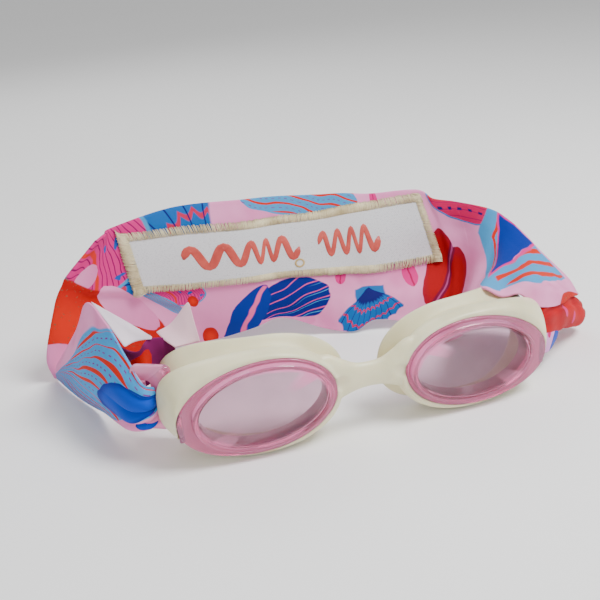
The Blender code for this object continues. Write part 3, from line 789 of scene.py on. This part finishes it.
def between(share, lip):
    start = 10.3
    return lambda u, v: start * (1 - share) + (seal_lip(u, v) + lip) * share


def make_seal(side, word, look):
    """The face seal: a thin skirt that leaves the frame in a shallow groove and flares to a
    rolled lip."""
    def at(share, nose, temple, up, down, nose_power, above, below, lip=0.0):
        return oval(side, between(share, lip), nose, temple, up, down, (nose_power, above, below))

    rings = [
        at(0.0, 27.6, 32.2, 18.6, 18.6, 2.1, 2.4, 2.2),
        at(0.12, 27.4, 32.6, 18.4, 18.3, 2.1, 2.4, 2.2),
        at(0.30, 28.0, 33.6, 18.5, 18.4, 2.15, 2.5, 2.25),
        at(0.50, 29.4, 34.5, 19.2, 18.9, 2.2, 2.6, 2.3),
        at(0.70, 31.4, 35.0, 20.4, 19.5, 2.25, 2.75, 2.35),
        at(0.88, 33.0, 34.8, 21.4, 19.9, 2.3, 2.85, 2.4),
        at(0.97, 33.7, 34.4, 21.75, 19.95, 2.3, 2.9, 2.4),
        at(1.0, 33.7, 34.0, 21.7, 19.9, 2.3, 2.9, 2.4),
        at(1.0, 33.1, 33.2, 21.1, 19.5, 2.3, 2.9, 2.4),
        at(0.96, 32.3, 32.8, 20.3, 19.1, 2.3, 2.9, 2.4),
        at(0.80, 30.4, 33.0, 19.2, 18.2, 2.25, 2.8, 2.35),
        at(0.55, 27.6, 32.6, 17.6, 17.3, 2.2, 2.6, 2.3),
        at(0.25, 25.9, 31.0, 16.9, 16.8, 2.1, 2.5, 2.2),
        at(0.0, 25.5, 30.2, 16.7, 16.7, 2.1, 2.4, 2.2),
    ]
    seal = skin("seal_skirt_" + word, rings, look, closed_profile=True)
    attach(seal, "goggles")
    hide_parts("seal_" + word)


# --- Strap --------------------------------------------------------------------------------
def from_line(u, v, start, end):
    """Each place's distance along a line on the flat cloth and away from it, and its length."""
    run = np.array(end, float) - start
    length = np.linalg.norm(run)
    along = ((u - start[0]) * run[0] + (v - start[1]) * run[1]) / length
    away = ((v - start[1]) * run[0] - (u - start[0]) * run[1]) / length
    return along, away, length


def ridge(u, v, start, end, width, height):
    """A soft fold: a raised line from start to end on the flat cloth, fading at both ends."""
    along, away, length = from_line(u, v, start, end)
    beyond = np.maximum(0.0, np.maximum(-along, along - length))
    return height * np.exp(-((away / width) ** 2) - (beyond / (width * 1.5)) ** 2)


def pleat(u, v, start, end, drop, reach):
    """A pleat: the cloth above the line from start to end overhangs the cloth below it."""
    along, away, length = from_line(u, v, start, end)
    fade = (np.clip(1 - (along - length * 0.5) / (length * 0.5), 0, 1) * (along < length)) ** 1.2
    over = 1 / (1 + np.exp(-away / 0.35)) * np.exp(-np.maximum(away, 0) / reach)
    return drop * fade * over


def cloth(name, net, rows, columns, look, thick, shape=None, inside=None, flip=False,
          keep=slice(None), wide=None):
    """A sheet of knit through a net of control points, with its folds and its thickness.
    shape(u, v) lifts it along its printed side; inside is the other side's material; keep is
    the part of its rows to make; wide is the flat cloth's width, if it isn't the mean one."""
    s, t = np.linspace(0, 1, rows), np.linspace(0, 1, columns)
    points = surface(net, s, t)
    up = spans(points, 1)
    u, v = np.meshgrid(spans(points, 0), up * ((wide or up[-1]) / up[-1]), indexing="ij")
    if shape is not None:
        points = points + grid_normals(points) * shape(u, v)[..., None] * (-1 if flip else 1)
    points[..., 2] = np.maximum(points[..., 2], TABLE + thick / 2)
    points, u, v = points[keep], u[keep], v[keep]
    uvs = np.stack((u, v), axis=2).reshape(-1, 2)
    faces = grid_faces(len(points), columns)
    made = mesh_piece(name, points.reshape(-1, 3), faces[:, ::-1] if flip else faces, look, uvs)
    made.data.materials.append(inside or look)
    modifier(made, "SOLIDIFY", thickness=thick * MM, offset=0.0, use_even_offset=True, material_offset=1)
    modifier(made, "SUBSURF", levels=1, render_levels=1)
    return made, points


# The strap's back, one row at a time from the wearer's right to the left, each from its lower
# edge to its upper edge. The first two rows are the layer behind the fold at the right, and the
# last eight are the wing over the left eyepiece.
BACK_NET = (
    ((-97, 104, -19.0), (-98, 104, -6), (-94, 104, 8), (-88, 105, 20), (-79, 107, 33)),
    ((-106, 99, -19.0), (-108, 99, -7), (-104, 99, 8), (-97, 98, 22), (-83, 99, 38.3)),
    ((-112.3, 93, -18.7), (-113.9, 91, -7.5), (-108, 91, 11), (-101.3, 92, 24), (-84.7, 95, 39.8)),
    ((-93, 98, -19.3), (-97, 96.5, -7), (-96, 96, 8), (-92, 96, 24), (-81, 98, 41.3)),
    ((-66, 101, -19.3), (-69, 99, -6), (-73.7, 100, 10.4), (-76, 100.5, 26), (-77.4, 102.5, 41.9)),
    ((-45, 100, -18.5), (-46, 98, -5), (-47.5, 99, 8), (-48, 102, 26), (-50, 108, 44.8)),
    ((-24, 91, -12.4), (-23, 92, -4), (-22, 95, 7.5), (-21, 100, 25), (-19, 108.3, 43.1)),
    ((-10, 89, -9.6), (-9.5, 90, -3), (-9, 94.5, 7.3), (-7.5, 100, 24.5), (-5, 108, 42.4)),
    ((8, 86, -17.0), (8.5, 87, -5), (9.5, 92, 6.0), (12, 98, 23), (15, 106, 40.6)),
    ((21, 81.5, -19.3), (23, 83, -6), (24.5, 89.5, 5.2), (25, 95.5, 22.5), (26.5, 103.8, 40.0)),
    ((31.8, 80, -14.8), (35, 81, -5), (37, 87, 4.5), (37.5, 93, 22), (39, 101.5, 38.4)),
    ((54, 72, -18.5), (60.5, 76, -7), (67, 86, 4.4), (63.5, 90.5, 22), (60.0, 96.5, 38.3)),
    ((58, 63, -14), (65, 69, -5), (71, 80, 5), (69.5, 87, 20.5), (66, 92, 34.4)),
    ((59, 53, -8), (68, 61, -1), (75, 72, 8), (77, 81, 20), (75, 87, 32.8)),
    ((55.5, 36, 6), (68, 48, 6), (79, 60, 12), (84.5, 70, 20), (86.5, 76.5, 30.6)),
    ((52, 18, 21), (63, 34, 18), (76, 48, 17), (87, 62, 20), (92.3, 70.5, 26.5)),
    ((58, 13.5, 18.6), (68, 27, 19.5), (79, 40, 18), (90, 53, 18), (97, 64, 20.8)),
    ((65.5, 13, 18), (71, 17, 22), (80, 28, 19.5), (92, 43, 15.5), (100.5, 58, 15)),
    ((72.3, 13, 11.8), (77, 16.5, 18), (83, 22, 17), (94, 36, 12.5), (105, 52, 9)),
    ((80, 15, 8.8), (86, 20, 11.6), (92, 26, 10.5), (101, 37, 6), (109.5, 47, 3)),
    ((92.5, 23, 4.8), (98.5, 28, 4), (104, 33, 1.5), (109.5, 39, -1.5), (113, 45, -4)),
)
BACK_ROWS = 240  # rows of the cloth's own grid
WING_ROW = 156  # where the left wing's grid leaves the back's
TUCK = 3  # rows that a thinner piece runs on inside the one before it
BACK_WIDTH = 51.5  # the width that the prints are laid out on
FAN_GRID = (90, 80)  # the fan's own rows and columns
CORNER_ROW = 52  # where the fan's far corner leaves the rest of it
FAN_NET = (
    ((-76.3, 16.2, -5), (-76.3, 16, -1.5), (-76.3, 16, 1.5), (-76.3, 16, 5.5), (-76.3, 16.3, 9)),
    ((-80.5, 16, -6.6), (-80.5, 14.4, -3), (-80.5, 13.7, 1), (-80.5, 14.2, 6.5), (-80.5, 16.2, 12)),
    ((-86.5, 25, -10.4), (-87, 21.5, -6), (-87, 19.3, -0.5), (-86, 21, 9), (-84, 27, 18.5)),
    ((-92.5, 44, -15.4), (-93.5, 37.5, -8.5), (-93.5, 33.5, 2), (-92, 36, 14), (-88.6, 40, 27)),
    ((-98.5, 60, -19), (-100, 55, -9), (-99.5, 52, 3), (-96.5, 51, 16), (-92.8, 52.5, 30.5)),
    ((-107, 80, -19), (-106.5, 77, -12), (-105, 73, -4), (-102.5, 69, 5), (-99.8, 65, 14)),
    ((-112, 93, -18.7), (-112, 92, -16.5), (-112, 91, -14.5), (-111.5, 90, -12.5), (-110.8, 89, -11)),
)
TURNBACK_NET = (
    ((-83.5, 30, 20.0), (-88, 40, 26.5), (-92.3, 50, 32.0)),
    ((-80, 31.5, 20.6), (-83, 37, 25.2), (-86, 43, 29.0)),
    ((-76.5, 31, 21.0), (-78, 33.5, 23.6), (-79.5, 36.5, 25.5)),
    ((-73.6, 30, 21.2), (-73.4, 30.1, 21.6), (-73.2, 30.2, 22.0)),
)
TAIL_NET = (
    ((-66, 27, 17.5), (-69, 30, 19.5), (-71.5, 33, 22.3)),
    ((-62, 27.5, 17.5), (-64, 30.5, 21), (-65.5, 33.5, 24.5)),
    ((-58.5, 28, 17.5), (-59.5, 30.5, 24), (-59.2, 32.5, 31.5)),
    ((-56.5, 28, 17.5), (-57.3, 30, 24), (-58.0, 32, 31.2)),
)
# The inner layer of the gather at the right; its dark colour is painted shade.
INNER_NET = (
    ((-88, 38, 9), (-88.5, 40, 15), (-89, 42, 20)),
    ((-82, 29.5, 6), (-82.5, 30.5, 12), (-83.5, 33, 18)),
    ((-77.5, 26, 5), (-78, 27, 12), (-79, 28, 18.5)),
    ((-72, 29, 10), (-73, 30, 16), (-75, 31, 21)),
    ((-65, 29, 12), (-66, 30, 17), (-68, 31, 20.5)),
)
TIP_PATH = (  # the middle of the turned-under end, half its height and half its depth
    (75.5, 13.6, 4.0, 5.0, 1.2), (81, 17.2, 2.6, 6.2, 2.2), (88.5, 24, -0.2, 7.0, 4.0),
    (97, 31.5, -3.8, 7.2, 4.8), (104, 36.5, -7.4, 6.9, 5.0), (109, 40, -10.2, 6.0, 4.4),
    (112.2, 42.4, -12, 4.2, 3.2), (113.2, 43.2, -12.8, 0.4, 0.3),
)
UNDER_NET = (
    ((75.5, 14.5, -8), (75.3, 14.2, -5), (75.3, 14, -2), (75.5, 14, 1)),
    ((80.5, 17, -12.4), (80.5, 15.6, -8), (80.5, 15.2, -4), (80.8, 15.6, 0)),
    ((86, 22, -14), (86.3, 20.4, -9.5), (86.6, 20, -6), (87, 21, -2.5)),
    ((90.5, 26.5, -13.5), (91, 25.4, -10.5), (91.5, 25.6, -7.5), (92, 27, -5)),
    ((93, 30.5, -13), (93.5, 30.5, -11), (94, 31, -9), (94.5, 31.5, -7)),
)

BACK_PRINTS = (
    ("scallop", 70, 36, 50, 104, 104), ("petal", 84, 6, 0, 104, 38), ("cone", 132, 50, 178, 54, 22),
    ("whelk", 117, 8, 12, 56, 28),
    ("scallop", 161, 6, 185, 39, 40), ("drop", 178, 21, 20, 8, 12), ("drop", 148, 23, -10, 6, 7),
    ("drop", 167, 50, 10, 5, 8), ("coral", 196, 18, -27, 24, 31), ("purse", 215, 51, -2, 38, 20),
    ("conch", 247, 27, 0, 60, 53), ("splash", 312, 14, 0, 58, 56), ("auger", 43, 47, 0, 54, 42),
    ("petal", 32, 37, 5, 15, 9), ("auger", 74, 23, -10, 24, 13), ("cone", 64, 20, 145, 22, 7),
    ("splash", 29, 19, -27, 72, 31), ("petal", 19, 4, 20, 26, 20), ("splash", 79, 18, 0, 5, 5),
    ("splash", 84, 2, 0, 9, 8), ("petal", 50, 20, -48, 27, 11),
)
FAN_PRINTS = (
    ("fronds", 46, 20, 0, 96, 44), ("petal", 4, 2, -14, 60, 20),
    ("wave", 14, 17, -16, 46, 14), ("wave", 6, 5, 20, 9, 3),
)
# The splash along the top of the rolled tip is painted light: a lighter orange-red where the roll is lit,
# against the deeper red ground below. Its dark flecks and the drops are print.
TIP_LIT_TOP_AND_PRINTS = (("splash", 26, 26, 0, 60, 12), ("drop", 20, 13, 30, 4, 5), ("drop", 30, 10, 0, 3, 5))
# Real prints on the inner layer of the gather, whose dark ground is painted shade.
DARK_PRINTS = (("splash", 16, 6, 30, 14, 8), ("cone", 8, 8, 60, 9, 6))
UNDER_PRINTS = (("wave", 14, 4, 60, 12, 9), ("drop", 6, 10, 0, 4, 6))


def back_shape(u, v):
    """The back's pleat and soft folds, by distance along the cloth and up it."""
    inner = 1 / (1 + np.exp((v - 44) / 2.5))
    folds = (
        ridge(u, v, (216, 6), (226, 40), 7, 1.6)
        - ridge(u, v, (202, 4), (206, 36), 7, 1.4)
        + ridge(u, v, (90, 4), (140, 20), 7, 1.1)
        - ridge(u, v, (118, 2), (180, 18), 8, 1.2)
        + ridge(u, v, (160, 2), (196, 22), 6, 1.0)
        + 0.5 * np.sin(u / 7.0 + v / 11.0) * np.exp(-((v - 10) / 14) ** 2)
    )
    drop = np.clip((u - 24) / 14, 0.25, 1)
    return pleat(u, v, (18, 38), (84, 11), 2.8, 8.0) * drop + folds * inner


def fan_shape(u, v):
    """Gathers that run out of the lug and soften across the fan."""
    height = v / np.maximum(v[:, -1:], 1e-6)
    rolls = np.abs(np.sin(math.pi * (height * 4.2 + 0.05))) ** 0.7 - 0.5
    near = np.exp(-((u - 7) / 15) ** 2) * np.clip(0.3 + u / 6, 0, 1)
    low = 1 / (1 + np.exp((height - 0.75) / 0.06))
    folds = 2.4 * rolls * near * (0.2 + 0.8 * low)
    soft = 1.0 * np.sin(height * 9 + u * 0.10) * np.exp(-((u - 40) / 20) ** 2)
    return folds + soft


def tip_net():
    """The strap's end at the left, turned under into a rounded roll: rings along its path."""
    angle = np.linspace(-0.75 * math.pi, 1.25 * math.pi, 17)
    crease = 1.0 - 0.20 * np.exp(-((angle - 0.72) / 0.22) ** 2)
    crease = crease + 0.10 * np.exp(-((angle - 1.15) / 0.25) ** 2)
    rows = []
    for x, y, z, high, deep in TIP_PATH:
        out_x, out_z = deep * crease * np.cos(angle), high * crease * np.sin(angle)
        rows.append(np.stack((x + 0.55 * out_x, y - 0.83 * out_x, z + out_z), axis=1))
    return rows


def tip_shape(u, v):
    """Gathers along the turned-under end."""
    return 0.35 * np.sin(v * 0.9) * np.clip(1 - u / 26, 0, 1) + 0.15 * np.sin(u * 0.5 + v * 0.25)


def strap_blend(made):
    """Bakes the piece's placement into its mesh."""
    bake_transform(made)


def stretch_blend(made):
    """Bakes the piece's placement into its mesh."""
    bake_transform(made)


def make_strap():
    printed = fabric("swim_knit_back", BACK_PRINTS)
    fan_print = fabric("swim_knit_fan", FAN_PRINTS)
    plain = fabric("swim_knit_inside", (), colour(236, 222, 234), colour(222, 204, 222))
    pale = fabric("swim_knit_pale", (), colour(238, 200, 210), colour(226, 180, 196))
    # The inner layer's dark purple ground is painted shade: the pink knit darkened where it lies in the
    # fold's shadow. Its prints are real.
    dark = fabric("swim_knit_painted_shade", DARK_PRINTS, colour(120, 30, 90), colour(84, 14, 60))
    # The tip's lighter orange-red top is painted light; its flecks and drops are print.
    tip_print = fabric("swim_knit_tip", TIP_LIT_TOP_AND_PRINTS, colour(190, 18, 26), colour(140, 10, 34))
    under = fabric("swim_knit_under", UNDER_PRINTS, colour(226, 160, 222))
    main_part, wing_part = slice(0, WING_ROW + 1), slice(WING_ROW - TUCK, BACK_ROWS)
    fan_part, corner_part = slice(0, CORNER_ROW + 1), slice(CORNER_ROW - TUCK, FAN_GRID[0])
    band = (BACK_NET, BACK_ROWS, 60, printed)
    fan_cloth = (FAN_NET, *FAN_GRID, fan_print)
    back, points = cloth("strap_back_cloth", *band, 1.2, back_shape, keep=main_part, wide=BACK_WIDTH)
    fan, _ = cloth("strap_fan_right", *fan_cloth, 1.1, fan_shape, plain, True, fan_part)
    wing, _ = cloth("strap_wing_left", *band, 1.1, back_shape, keep=wing_part, wide=BACK_WIDTH)
    corner, _ = cloth("strap_fan_corner", *fan_cloth, 1.0, fan_shape, plain, True, corner_part)
    tip, _ = cloth("strap_tip_left", tip_net(), 60, 64, tip_print, 0.8, tip_shape, flip=True)
    turnback, _ = cloth("strap_turnback_right", TURNBACK_NET, 20, 14, plain, 0.9)
    tail, _ = cloth("strap_tail_cloth_right", TAIL_NET, 18, 18, pale, 0.9)
    inner, _ = cloth("strap_inner_right", INNER_NET, 24, 18, dark, 1.0)
    turned, _ = cloth("strap_under_left", UNDER_NET, 40, 24, under, 1.1)
    stretch_blend(back)
    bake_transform(corner)
    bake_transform(wing)
    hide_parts("strap_back")
    for made in (fan, turnback, inner, turned, tip):
        strap_blend(made)
    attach(tail, "goggles")
    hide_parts("strap_side_right")
    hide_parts("strap_side_left")
    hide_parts("strap_tail_left")
    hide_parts("strap_tail_right")
    return points


# --- Patch --------------------------------------------------------------------------------
class Patch:
    """The patch's place on the strap's surface: across and up are in millimetres."""

    def __init__(self, points, s_range, t_range):
        rows = np.linspace(0, 1, points.shape[0])
        columns = np.linspace(0, 1, points.shape[1])
        pick_s = (rows >= s_range[0] - 0.02) & (rows <= s_range[1] + 0.02)
        self.s, self.t = rows[pick_s], columns
        self.points = points[pick_s]
        self.normals = grid_normals(self.points)
        self.s_range, self.t_range = s_range, t_range
        corners = self.at(np.array([0.0, 1.0, 0.0, 1.0]), np.array([0.0, 0.0, 1.0, 1.0]), 0.0)
        self.length = np.linalg.norm(corners[1] - corners[0])
        self.height = (np.linalg.norm(corners[2] - corners[0]) + np.linalg.norm(corners[3] - corners[1])) / 2

    def at(self, across, up, lift):
        """Points at shares of the patch's length and height, lifted off the strap."""
        s = self.s_range[0] + (self.s_range[1] - self.s_range[0]) * across
        top = self.t_range[1] - 0.10 * np.sin(math.pi * np.clip(across, 0, 1) ** 0.55)
        t = self.t_range[0] + (top - self.t_range[0]) * up
        i = np.clip(np.searchsorted(self.s, s) - 1, 0, len(self.s) - 2)
        j = np.clip(np.searchsorted(self.t, t) - 1, 0, len(self.t) - 2)
        f = ((s - self.s[i]) / (self.s[i + 1] - self.s[i]))[..., None]
        g = ((t - self.t[j]) / (self.t[j + 1] - self.t[j]))[..., None]
        result = []
        for values in (self.points, self.normals):
            low = values[i, j] * (1 - f) + values[i + 1, j] * f
            high = values[i, j + 1] * (1 - f) + values[i + 1, j + 1] * f
            result.append(low * (1 - g) + high * g)
        return result[0] + result[1] * np.asarray(lift, float)[..., None]


# The shares of the back's made rows, and of its width, that the patch covers.
PATCH_ROWS = tuple(net_row * BACK_ROWS / (WING_ROW * (len(BACK_NET) - 1)) for net_row in (4, 11))
PATCH_COLUMNS = (0.51, 0.975)
STITCH = 0.50  # one thread's width
BORDER = 4.4  # the width of the stitched border
BORDER_LEAN = 0.25  # how far each stitch's ends are out of line
FACE_LIFT = 1.15  # how far the twill is above the strap's middle surface
TWILL_THICK = 0.8
UNDER_BORDER = 0.7  # the share of the border that the twill doesn't reach under
TWILL_GRID = (90, 24)
RING_RADIUS = 1.9


def stitch_row(patch, steps, at):
    """Satin stitches side by side: each is a thread from the inner edge over the border's
    padding to the outer edge. steps are places along the edge; at turns a place and a share
    of the border's width into shares of the patch's length and height."""
    sides, bends = 6, 7
    angle = circle(sides)
    across = np.linspace(0, 1, bends)
    faces = [tuple(f) for f in grid_faces(bends, sides, False, True)]
    faces += [tuple(range(sides)), tuple(range((bends - 1) * sides, bends * sides))]
    blocks = []
    for step in steps:
        wander = RANDOM.normal(0, 0.10, 2)
        start, finish = at(step + wander[0] + BORDER_LEAN, 1.0), at(step + wander[1] - BORDER_LEAN, 0.0)
        shares = across * (1 + RANDOM.uniform(-0.03, 0.08))
        spots = start[None] * (1 - shares[:, None]) + finish[None] * shares[:, None]
        lift = 1.0 + 1.25 * np.sin(math.pi * across) ** 0.6 + RANDOM.normal(0, 0.05)
        path = patch.at(spots[:, 0], spots[:, 1], lift)
        above = unit(patch.at(spots[:, 0], spots[:, 1], lift + 1.0) - path)[:, None]
        side = np.cross(unit(np.gradient(path, axis=0)), above[:, 0])[:, None]
        radius = STITCH * RANDOM.uniform(0.46, 0.62)
        c, s = np.cos(angle)[None, :, None], np.sin(angle)[None, :, None]
        ring = path[:, None] + radius * (c * side + 0.8 * s * above)
        blocks.append((ring.reshape(-1, 3), faces))
    return blocks


def make_patch(points):
    patch = Patch(points, PATCH_ROWS, PATCH_COLUMNS)
    length, height = patch.length, patch.height
    wide, tall = BORDER / length, BORDER / height
    face_look = twill("patch_twill_face")
    rows, columns = TWILL_GRID
    along = np.linspace(wide * UNDER_BORDER, 1 - wide * UNDER_BORDER, rows)
    upwards = np.linspace(tall * UNDER_BORDER, 1 - tall * UNDER_BORDER, columns)
    a, b = np.meshgrid(along, upwards, indexing="ij")
    spots = patch.at(a, b, np.full(a.shape, FACE_LIFT))
    uvs = np.stack((a * length, b * height), axis=2).reshape(-1, 2)
    face = mesh_piece("patch_twill", spots.reshape(-1, 3), grid_faces(*TWILL_GRID), face_look, uvs)
    modifier(face, "SOLIDIFY", thickness=TWILL_THICK * MM, offset=0.0)
    look = thread("border_thread", colour(226, 214, 174), colour(178, 160, 116))
    blocks = []
    for flat, edge in ((True, 0.0), (True, 1.0), (False, 0.0), (False, 1.0)):
        run, depth = (length, tall) if flat else (height, wide)
        sign = 1 if edge == 0.0 else -1

        def at(step, share):
            along = np.clip(step / run, -0.004, 1.004)
            inward = edge + sign * depth * share
            return np.array((along, inward) if flat else (inward, along))

        blocks += stitch_row(patch, np.arange(0.0, run, STITCH * 0.96), at)
    border = mesh_piece("patch_border_stitches", *joined(blocks), look)
    for made, node_name, slot in (
        (face, "patch_face", "patch_twill"), (border, "patch_border", "patch_thread"),
    ):
        stretch_blend(made)
        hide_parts(node_name)
    make_motif(patch)


STROKE_SECTION = (  # across, as a share of the half width, and up
    (-1.0, 0.0), (-0.94, 0.16), (-0.7, 0.26), (0.0, 0.30), (0.7, 0.26), (0.94, 0.16), (1.0, 0.0), (0.0, -0.1),
)


def stroke(name, patch, centres, half_width, lift, look, node_name, closed=False):
    """A thick embroidered line: a low rounded ribbon along centres on the patch."""
    centres = np.asarray(centres, float)
    size = np.array((patch.length, patch.height))
    flat = centres * size
    run = unit(np.gradient(flat, axis=0))
    side = np.stack((-run[:, 1], run[:, 0]), axis=1)
    rings = []
    ends = np.minimum(np.arange(len(flat)), np.arange(len(flat))[::-1]) * 0.5
    taper = np.ones(len(flat)) if closed else np.sqrt(np.clip(1 - (1 - np.clip(ends, 0, 1)) ** 2, 0.05, 1))
    for across, up in STROKE_SECTION:
        spots = (flat + side * (across * half_width * taper)[:, None]) / size
        rings.append(patch.at(spots[:, 0], spots[:, 1], lift + up * taper))
    made = skin(name, list(np.stack(rings, axis=1)), look, closed)
    stretch_blend(made)
    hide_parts(node_name)


def make_motif(patch):
    coral_look = thread("motif_coral_thread", colour(208, 84, 72), colour(176, 56, 50))
    gold_look = thread("motif_gold_thread", colour(214, 188, 130), colour(180, 150, 90))
    for name, start, end, waves in (("long", 0.13, 0.50, 5), ("short", 0.565, 0.86, 4)):
        share = np.linspace(0, 1, waves * 16 + 1)
        across = start + (end - start) * share
        up = 0.50 + 0.155 * np.sin(2 * math.pi * waves * share)
        stroke("wave_" + name, patch, np.stack((across, up), axis=1), 1.6, 1.5, coral_look,
               "patch_wave_" + name)
    angle = circle(32)
    across = 0.50 + RING_RADIUS / patch.length * np.cos(angle)
    up = 0.245 + RING_RADIUS / patch.height * np.sin(angle)
    stroke("ring_gold", patch, np.stack((across, up), axis=1), 0.45, 1.55, gold_look,
           "patch_ring", closed=True)


# --- Loops and stitches -------------------------------------------------------------------
LOOP_AROUND = 40  # points round each loop
LOOP_HEIGHTS = (-7.8, 5.4)
LOOP_RADII = ((3.1, 2.9, 1), (1.75, 1.55, -1))  # outer then inner: along, through, and direction
TACK_STITCHES = 22
TACK_PITCH = 0.55
TACK_RADIUS = 0.28


def make_loops():
    look = fabric("swim_knit_loop", (("splash", 6, 4, 0, 8, 8),), PINK, PINK_DEEP)
    stitches = thread("bartack_thread", colour(236, 176, 204), colour(208, 140, 176))
    for side, word in SIDES:
        angle = circle(LOOP_AROUND)
        heights = np.linspace(*LOOP_HEIGHTS, 45)
        rings = []
        for reach_x, reach_z, order in LOOP_RADII:
            for z in heights[::order]:
                gather = 1 + 0.06 * math.sin(z * 2.6) * (reach_x > 2)
                x = 3.5 + reach_x * gather * np.cos(angle)
                depth = reach_z * gather * np.sin(angle)
                rings.append(lug_place(side, np.stack((x, np.full(LOOP_AROUND, z), depth), axis=1)))
        loop = skin("strap_wrap_" + word, rings, look, closed_profile=True)
        uvs = loop.data.uv_layers.new(name="flat")
        for corner in uvs.data:
            corner.uv = (0.0, 0.0)
        section = np.stack((np.zeros(6), np.cos(angle[::7]), np.sin(angle[::7])), axis=1)
        tube = grid_faces(6, 6, False, True)
        blocks = []
        for n in range(TACK_STITCHES):
            z = -7.2 + n * TACK_PITCH
            path = spline(((1.4, z, 0), (3.4, z + 0.3, 0.35), (5.6, z, 0)), np.linspace(0, 1, 6))
            path[:, 2] = -side * (3.35 + path[:, 2])
            ring = path[:, None] + TACK_RADIUS * section[None]
            blocks.append((lug_place(side, ring.reshape(-1, 3)), tube))
        tack = mesh_piece("bartack_" + word, *joined(blocks), stitches)
        for made, slot, node_name in (
            (loop, "print_fabric", "strap_loop_"), (tack, "thread", "strap_bartack_"),
        ):
            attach(made, "goggles")
            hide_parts(node_name + word)


# --- Stage, light and camera --------------------------------------------------------------
LIGHTS = (  # name, place, size and power
    ("key", (0.32, -0.22, 0.68), 0.30, 7.5),
    ("fill", (-0.6, -0.7, 0.45), 0.6, 1.6),
    ("back", (-0.1, 0.7, 0.6), 0.5, 1.8),
)
CAMERA_ANGLES = (-14.94, 24.20, 4.656)  # degrees: round, above and tilted
CAMERA_PLACE = (-92.31, -252.03, 156.55)


def make_stage():
    look, tree, shader = material("pale_floor", Roughness=0.9)
    where = object_place(tree)
    floor_colour = mix(noise(where, 3.0), (0.93, 0.93, 0.93, 1), (0.96, 0.96, 0.96, 1))
    feed(shader.inputs["Base Color"], floor_colour)
    bpy.ops.mesh.primitive_plane_add(size=6.0, location=(0, 0, -0.0002))
    floor = bpy.context.object
    floor.name = "floor"
    floor.data.materials.append(look)
    world = bpy.data.worlds.new("studio")
    world.use_nodes = True
    sky = world.node_tree.nodes["Background"].inputs
    sky["Color"].default_value = (1.0, 1.0, 1.0, 1.0)
    sky["Strength"].default_value = 0.58
    bpy.context.scene.world = world
    centre = Vector((0.0, 0.0, 0.02))
    for name, spot, size, power in LIGHTS:
        light = bpy.data.lights.new(name, "AREA")
        light.size = size
        light.energy = power
        made = bpy.data.objects.new(name, light)
        bpy.context.scene.collection.objects.link(made)
        made.location = spot
        made.rotation_euler = (centre - Vector(spot)).to_track_quat("-Z", "Y").to_euler()


def make_camera():
    """The view from the front, above and a little to the wearer's right."""
    yaw, pitch, roll = (math.radians(a) for a in CAMERA_ANGLES)
    back = Vector((math.sin(yaw) * math.cos(pitch), -math.cos(yaw) * math.cos(pitch), math.sin(pitch)))
    right = (-back).cross(Vector((0, 0, 1))).normalized()
    up = right.cross(-back)
    turned_right = right * math.cos(roll) - up * math.sin(roll)
    turned_up = right * math.sin(roll) + up * math.cos(roll)
    data = bpy.data.cameras.new("camera")
    data.sensor_width = 36.0
    data.lens = 51.19
    data.clip_start = 0.01
    camera = bpy.data.objects.new("camera", data)
    bpy.context.scene.collection.objects.link(camera)
    turn = Matrix((turned_right, turned_up, back)).transposed().to_4x4()
    camera.matrix_world = Matrix.Translation(place(CAMERA_PLACE)) @ turn
    bpy.context.scene.camera = camera


make_camera()
make_stage()
pink_clear = clear_plastic("pink_clear_plastic", (0.97, 0.40, 0.66, 1.0), 200.0)
cream = moulded_rubber("cream_frame_rubber", colour(234, 228, 192), 0.34)
cream_soft = moulded_rubber("cream_seal_rubber", colour(228, 221, 184), 0.42)
make_frame(cream)
for eye_side, eye_word in SIDES:
    make_lens(eye_side, eye_word, pink_clear)
    make_seal(eye_side, eye_word, cream_soft)
strap_points = make_strap()
make_patch(strap_points)
make_loops()
